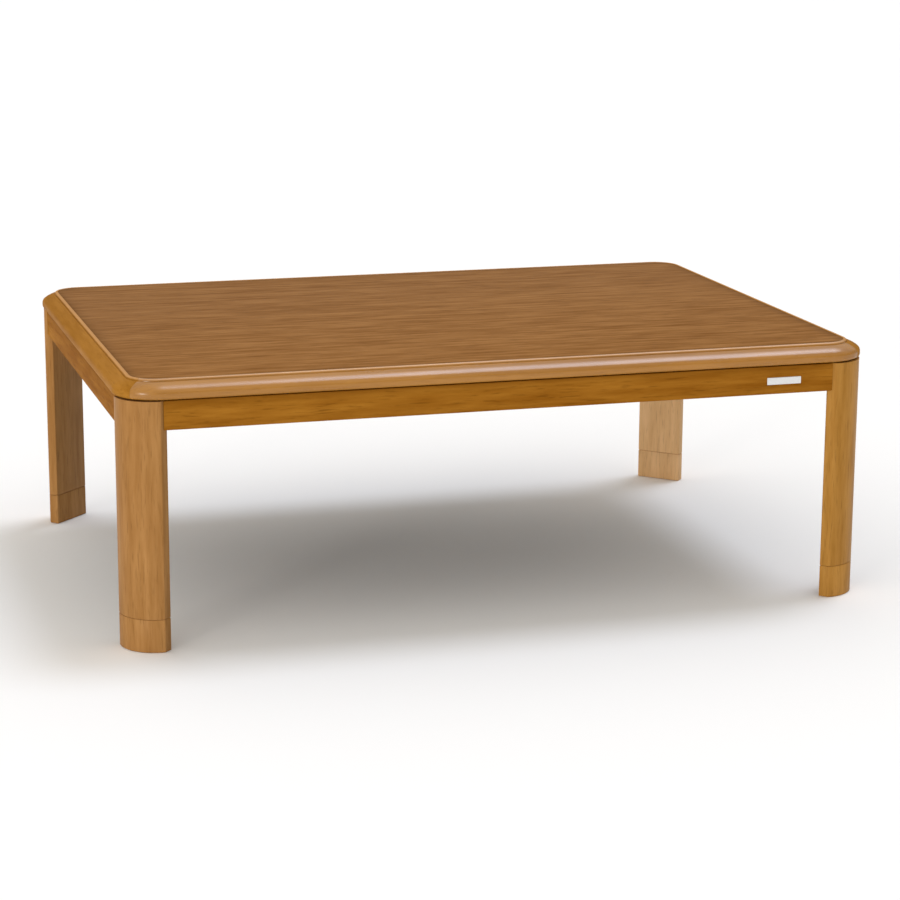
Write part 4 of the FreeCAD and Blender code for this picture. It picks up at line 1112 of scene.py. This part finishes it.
def glide_profile(radius, height):
    """A floor glide with an eased rim and a hollow under its middle."""
    return [(0, height), (radius, height), (radius, 0.5 * MM),
            (radius - 0.15 * MM, 0.15 * MM), (radius - 0.5 * MM, 0), (radius * 0.42, 0),
            (radius * 0.36, height * 0.35), (0, height * 0.35)]


class TABLE_OT_feet(Operator):
    """Four extension feet of the same section as the legs, each with its peg and its glide"""
    bl_idname = "table.feet"
    bl_label = "Extension feet"

    def execute(self, context):
        sizes = context.scene.table_sizes
        for corner, (sx, sy) in CORNERS.items():
            low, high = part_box("foot_" + corner)
            bm = bmesh.new()
            leg_prism(bm, low.z, high.z)
            bevel_level(bm, high.z, sizes.foot_bevel)
            bevel_level(bm, low.z, sizes.base_bevel)
            to_corner(bm, sx, sy)
            add_piece("foot_block_" + corner, bm, "foot_" + corner, leg_finish("foot", corner, 7))
            turned_piece("foot_peg_pin_" + corner, "foot_peg_" + corner, peg_profile)
            turned_piece("glide_disc_" + corner, "foot_glide_" + corner, glide_profile)
        return {"FINISHED"}


# Heater

class TABLE_OT_housing(Operator):
    """Pressed steel housing of the heater, with rounded corners and a flat flange"""
    bl_idname = "table.housing"
    bl_label = "Heater housing"

    def execute(self, context):
        heater = context.scene.table_heater
        sheet, edge = heater.sheet, heater.pan_edge
        low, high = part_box("heater_housing")
        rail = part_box("heater_rail_left")[0].z
        flange = high.x - low.x
        guard_low, guard_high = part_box("heater_guard")
        pan = guard_high.y - guard_low.y - heater.guard_margin

        def wall(out, z):
            """The pan's outline grown outward, as (size x, size y, radius, height)."""
            return pan + 2 * out, pan + 2 * out, heater.pan_corner + out, z

        outlines = [wall(-inset, high.z - drop) for drop, inset in quarter_round(edge, EDGE_STEPS)]
        outlines += [wall(out, rail + rise)
                     for out, rise in quarter_round(heater.pan_foot, EDGE_STEPS)]
        outlines += [(flange, flange, heater.flange_corner, z) for z in (rail, low.z)]
        outlines.append(wall(-sheet, low.z))
        outlines += [wall(-sheet - inset, high.z - sheet - drop)
                     for drop, inset in reversed(quarter_round(edge - sheet, EDGE_STEPS))]
        bm = bmesh.new()
        bridge_outlines(bm, outlines, SHEET_STEPS, True)
        add_piece("heater_pan", bm, "heater_housing")
        return {"FINISHED"}


class TABLE_OT_sheetwork(Operator):
    """Reflector, brackets, guard with its grille, and control cover, with eased edges"""
    bl_idname = "table.sheetwork"
    bl_label = "Guard, cover and sheet parts"

    def execute(self, context):
        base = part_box("heater_reflector")[0].z

        def lip_or_corner(edge):
            """The reflector's long upper edges, and its upright ones."""
            first, second = (vert.co.z for vert in edge.verts)
            lip = edge.calc_length() > 20 * MM and min(first, second) > base + MM
            return lip or abs(first - second) > 10 * MM

        eased_copy("reflector_tray", "heater_reflector", 1.2, 3, keep=lip_or_corner)
        eased_copy("bracket_angles", "tube_brackets", 0.25)
        eased_copy("guard_walls", "heater_guard", 0.8)
        eased_copy("guard_bars", "guard_grille", 0.6)
        eased_copy("control_cover_shell", "control_cover", 0.8)
        turned_piece("spacer_posts", "reflector_spacers", lambda radius, height: (
            pin_profile(radius, 0, height, 0.6 * MM)), solids_of("reflector_spacers"))
        return {"FINISHED"}


class TABLE_OT_tubes(Operator):
    """Quartz tubes in their ceramic caps, with the heating coil inside"""
    bl_idname = "table.tubes"
    bl_label = "Quartz tubes"

    def execute(self, context):
        heater = context.scene.table_heater
        margin = heater.coil_margin
        over_coil = heater.coil_radius + heater.coil_wire
        rod_low, rod_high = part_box("heating_element")
        rod = (rod_high.z - rod_low.z) / 2
        glass = bmesh.new()
        wire = bmesh.new()
        for low, high in solids_of("quartz_tubes"):
            middle = (low + high) / 2
            reach = high.x - low.x
            radius = (high.z - low.z) / 2
            stamp_turned(glass, ring_profile(radius - MM, radius, 0, reach, 0.3 * MM),
                         lying(low.x, middle), CIRCLE_STEPS)

            coil = bmesh.new()
            start = (Matrix.Translation((heater.coil_radius, 0, 0))
                     @ Matrix.Rotation(QUARTER, 4, "X"))
            ring = bmesh.ops.create_circle(coil, segments=6, radius=heater.coil_wire,
                                           cap_ends=True, matrix=start)
            turns = (reach - 2 * margin) / heater.coil_pitch
            steps = int(turns * COIL_STEPS)
            bmesh.ops.spin(coil, geom=list(coil.faces) + list(coil.edges) + ring["verts"],
                           cent=(0, 0, 0), axis=(0, 0, 1),
                           dvec=(0, 0, (reach - 2 * margin) / steps),
                           angle=turns * FULL_TURN, steps=steps)
            stamp(wire, coil, lying(low.x + margin, middle))

            for thickness, near, far in (
                    (rod, rod_low.x + rod, low.x + margin), (rod, high.x - margin, rod_high.x),
                    (over_coil, low.x + margin - MM, low.x + margin),
                    (over_coil, high.x - margin, high.x - margin + MM)):
                stamp_turned(wire, pin_profile(thickness, 0, far - near, 0.3 * MM),
                             lying(near, middle))
        half = (rod_high.y - rod_low.y) / 2 - rod
        link = (rod_low.x + rod, 0, (rod_low.z + rod_high.z) / 2)
        stamp_turned(wire, pin_profile(rod, -half, half, 0.4 * MM), pointing(link, (0, 1, 0)))
        add_piece("quartz_glass_tubes", glass, "quartz_tubes")
        add_piece("heating_coil_wire", wire, "heating_element")
        eased_copy("ceramic_end_caps", "tube_end_caps", 1.2, 3)
        return {"FINISHED"}


def thermostat_profile(radius, height):
    """A disc thermostat: a narrow can under a wide cap."""
    can, seam = radius * 0.78, height * 0.45
    return [(0, 0), (radius * 0.72, 0), (can, 0.4 * MM), (can, seam), (radius, seam),
            (radius, height - 0.5 * MM), (radius - 0.5 * MM, height), (0, height)]


class TABLE_OT_electrics(Operator):
    """Terminals, control board, power inlet with its pins, and thermostat"""
    bl_idname = "table.electrics"
    bl_label = "Electrical parts"

    def execute(self, context):
        eased_copy("terminal_bodies", "terminal_blocks", 0.7)
        eased_copy("inlet_body", "inlet_socket", 0.7)
        pins = bmesh.new()
        for low, high in solids_of("inlet_pins"):
            radius = (high.z - low.z) / 2
            reach = high.x - low.x
            stamp_turned(pins, [(0, 0), (radius, 0), (radius, reach - radius),
                                (radius * 0.9, reach - radius * 0.5),
                                (radius * 0.6, reach - radius * 0.15), (0, reach)],
                         lying(low.x, (low + high) / 2))
        add_piece("inlet_contact_pins", pins, "inlet_pins")
        turned_piece("thermostat_disc", "thermostat", thermostat_profile)

        board, *relays = sorted(solids_of("control_board"), key=lambda box: box[1].z - box[0].z)
        low, high = board
        size = high - low
        sheet = bmesh.new()
        stamp(sheet, slab(size.x, size.y, size.z, 1.5 * MM, BOARD_STEPS), standing(low, high))
        add_piece("circuit_board_sheet", sheet, "control_board")
        cases = bmesh.new()
        for case_low, case_high in sorted(relays, key=lambda box: box[0].x):
            case_size = case_high - case_low
            case = slab(case_size.x, case_size.y, case_size.z, MM, BOARD_STEPS)
            bevel_level(case, case_size.z, 0.8 * MM)
            stamp(cases, case, standing(case_low, case_high))
        add_piece("relay_cases", cases, "control_board", finish_of("cover_plastic"))
        cans = bmesh.new()
        for number, height in enumerate((6 * MM, 9 * MM, 6 * MM, 9 * MM)):
            y = low.y + size.y * (0.14 + 0.24 * number)
            stamp_turned(cans, pin_profile(2.5 * MM, 0, height, 0.5 * MM),
                         Matrix.Translation((high.x - 4 * MM, y, high.z)))
        add_piece("capacitor_cans", cans, "control_board", finish_of("zinc_steel"))
        return {"FINISHED"}


# Fan

def motor_profile(radius, height):
    """A motor can with four ribs, a neck below, a collar above and a blind bore for the shaft."""
    bore, bore_end, side = 2.1 * MM, 14.05 * MM, radius * 0.92
    profile = [(bore, 2 * MM), (bore, 0), (radius * 0.28, 0), (radius * 0.32, 1.2 * MM),
               (radius * 0.86, 1.2 * MM), (radius * 0.9, 1.6 * MM), (side, 2.6 * MM)]
    for share in (0.3, 0.45, 0.6, 0.75):
        rib = height * share
        profile += [(side, rib - MM), (radius * 0.96, rib), (side, rib + MM)]
    return profile + [(side, height - 2 * MM), (radius, height - 2 * MM), (radius, height),
                      (0, height), (0, bore_end), (bore, bore_end), (bore, 2 * MM)]


def fan_blade():
    """A cambered blade in the XY plane, narrower at its tip."""
    heater = bpy.context.scene.table_heater
    width = heater.blade_width
    blade = bmesh.new()
    bmesh.ops.create_grid(blade, x_segments=8, y_segments=6, size=0.5)
    tip = [vert for vert in blade.verts if vert.co.x > 0.49 and abs(vert.co.y) > 0.49]
    bmesh.ops.scale(blade, vec=(1, 0.8, 1), verts=tip)
    reach = heater.blade_tip - heater.hub + heater.blade_root
    bmesh.ops.scale(blade, vec=(reach, width, 1), verts=blade.verts)
    for vert in blade.verts:
        vert.co.z = -heater.blade_camber * (2 * vert.co.y / width) ** 2
    bmesh.ops.solidify(blade, geom=blade.faces, thickness=heater.blade_sheet)
    return blade


class TABLE_OT_fan(Operator):
    """Fan motor with ribbed can, its shaft and the pressed wheel with cambered blades"""
    bl_idname = "table.fan"
    bl_label = "Fan"

    def execute(self, context):
        heater = context.scene.table_heater
        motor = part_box("fan_motor")     # its axis is the wheel's, whose own box is lopsided
        turned_piece("fan_motor_can", "fan_motor", motor_profile)
        turned_piece("fan_shaft_pin", "fan_shaft", lambda radius, height: (
            pin_profile(radius, 0, height, 0.4 * MM)))
        low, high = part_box("fan_wheel")
        blades = 7
        out = (heater.blade_tip + heater.hub - heater.blade_root) / 2
        bm = bmesh.new()
        for number in range(blades):
            turn = (standing(*motor, (low.z + high.z) / 2)
                    @ Matrix.Rotation(FULL_TURN * number / blades, 4, "Z")
                    @ Matrix.Translation((out, 0, 0))
                    @ Matrix.Rotation(heater.blade_pitch, 4, "X"))
            stamp(bm, fan_blade(), turn)
        boss = ring_profile(heater.hub_bore, heater.hub, 0, high.z - low.z, 0.8 * MM)
        stamp_turned(bm, boss, standing(*motor, low.z), CIRCLE_STEPS)
        add_piece("fan_wheel_blades", bm, "fan_wheel")
        return {"FINISHED"}


class TABLE_OT_carried(Operator):
    """Finishes for the parts whose shape comes from the frame"""
    bl_idname = "table.carried"
    bl_label = "Finishes of the other parts"

    def execute(self, context):
        for node, part in frame["nodes"].items():
            for holder in part.material_slots:
                holder.material = finish_of(SLOT_OF_NODE[node])
        return {"FINISHED"}


# Stage

# Soft lights, so large and far that they light the whole floor evenly: the direction of each,
# its width in degrees, its strength and its tint
LIGHTS = {
    "overhead": ((0.35, 0.18, 0.92), 22, 1.05, "#E6EEFF"),
    "dome": ((-0.1, 0.0, 1.0), 140, 1.65, "#FFF9F0"),
    "key": ((-0.68, -0.70, 0.28), 50, 0.25, "#FFFAF4"),
    "low": ((-0.70, -0.71, 0.06), 12, 1.1, "#FFFAF4"),
}


class TABLE_OT_stage(Operator):
    """Pale floor, soft studio lights and the camera of the photograph"""
    bl_idname = "table.stage"
    bl_label = "Stage"

    def execute(self, context):
        scene = context.scene
        stage = scene.table_stage
        bm = bmesh.new()
        bmesh.ops.create_grid(bm, x_segments=1, y_segments=1, size=30)
        mesh = bpy.data.meshes.new("studio_floor")
        bm.to_mesh(mesh)
        bm.free()
        floor = bpy.data.objects.new("studio_floor", mesh)
        scene.collection.objects.link(floor)
        # matt painted floor: pale and even, without a reflection of the table
        mesh.materials.append(new_material("matt_studio_floor", {
            "Base Color": opaque(stage.floor_colour), "Roughness": 0.9,
            "Specular IOR Level": 0.1})[0])

        world = bpy.data.worlds.new("studio")
        world.use_nodes = True
        background = world.node_tree.nodes["Background"]
        background.inputs["Color"].default_value = (1, 1, 1, 1)
        background.inputs["Strength"].default_value = 0.3
        scene.world = world

        for name, (toward, spread, strength, tint) in LIGHTS.items():
            light = bpy.data.lights.new(name, "SUN")
            light.angle = math.radians(spread)
            light.energy = strength
            light.color = linear(tint)
            lamp = bpy.data.objects.new(name, light)
            lamp.rotation_euler = Vector(toward).to_track_quat("Z", "Y").to_euler()
            scene.collection.objects.link(lamp)

        camera = bpy.data.objects.new("camera", bpy.data.cameras.new("camera"))
        azimuth = -stage.azimuth
        back = Vector((math.sin(azimuth) * math.cos(stage.elevation),
                       -math.cos(azimuth) * math.cos(stage.elevation),
                       math.sin(stage.elevation)))
        level = Vector((math.cos(azimuth), math.sin(azimuth), 0))
        rise = back.cross(level)
        right = level * math.cos(stage.roll) + rise * math.sin(stage.roll)
        top = rise * math.cos(stage.roll) - level * math.sin(stage.roll)
        place = back * stage.distance + right * stage.aside + top * stage.above
        turn = Matrix((right, top, back)).transposed()
        camera.matrix_world = Matrix.Translation(place) @ turn.to_4x4()
        camera.data.lens = stage.lens
        camera.data.sensor_width = 36
        scene.collection.objects.link(camera)
        scene.camera = camera
        scene.view_settings.view_transform = "Standard"
        return {"FINISHED"}


class TABLE_PT_parts(Panel):
    """The table's parts, to be made one by one"""
    bl_idname = "TABLE_PT_parts"
    bl_label = "Low heated table"
    bl_space_type = "VIEW_3D"
    bl_region_type = "UI"
    bl_category = "Heated table"

    def draw(self, context):
        for step in STEPS:
            self.layout.operator(step.bl_idname)


STEPS = (
    TABLE_OT_carried, TABLE_OT_rim, TABLE_OT_panel, TABLE_OT_core, TABLE_OT_aprons,
    TABLE_OT_badge, TABLE_OT_pads, TABLE_OT_carriers, TABLE_OT_screws, TABLE_OT_bolts,
    TABLE_OT_legs, TABLE_OT_feet, TABLE_OT_housing, TABLE_OT_sheetwork, TABLE_OT_tubes,
    TABLE_OT_electrics, TABLE_OT_fan, TABLE_OT_stage,
)
GROUPS = {
    "table_sizes": TABLE_PG_sizes,
    "table_heater": TABLE_PG_heater,
    "table_finishes": TABLE_PG_finishes,
    "table_stage": TABLE_PG_stage,
}


def register():
    """Register the classes and hang the settings on the scene."""
    for item in (*GROUPS.values(), *STEPS, TABLE_PT_parts):
        bpy.utils.register_class(item)
    for name, group in GROUPS.items():
        setattr(bpy.types.Scene, name, PointerProperty(type=group))


def unregister():
    """Take the settings and the classes away again."""
    for name in GROUPS:
        delattr(bpy.types.Scene, name)
    for item in (*GROUPS.values(), *STEPS, TABLE_PT_parts):
        bpy.utils.unregister_class(item)


def main():
    """Make every part and the stage."""
    register()
    for step in STEPS:
        family, name = step.bl_idname.split(".")
        getattr(getattr(bpy.ops, family), name)()


if __name__ == "__main__":
    main()
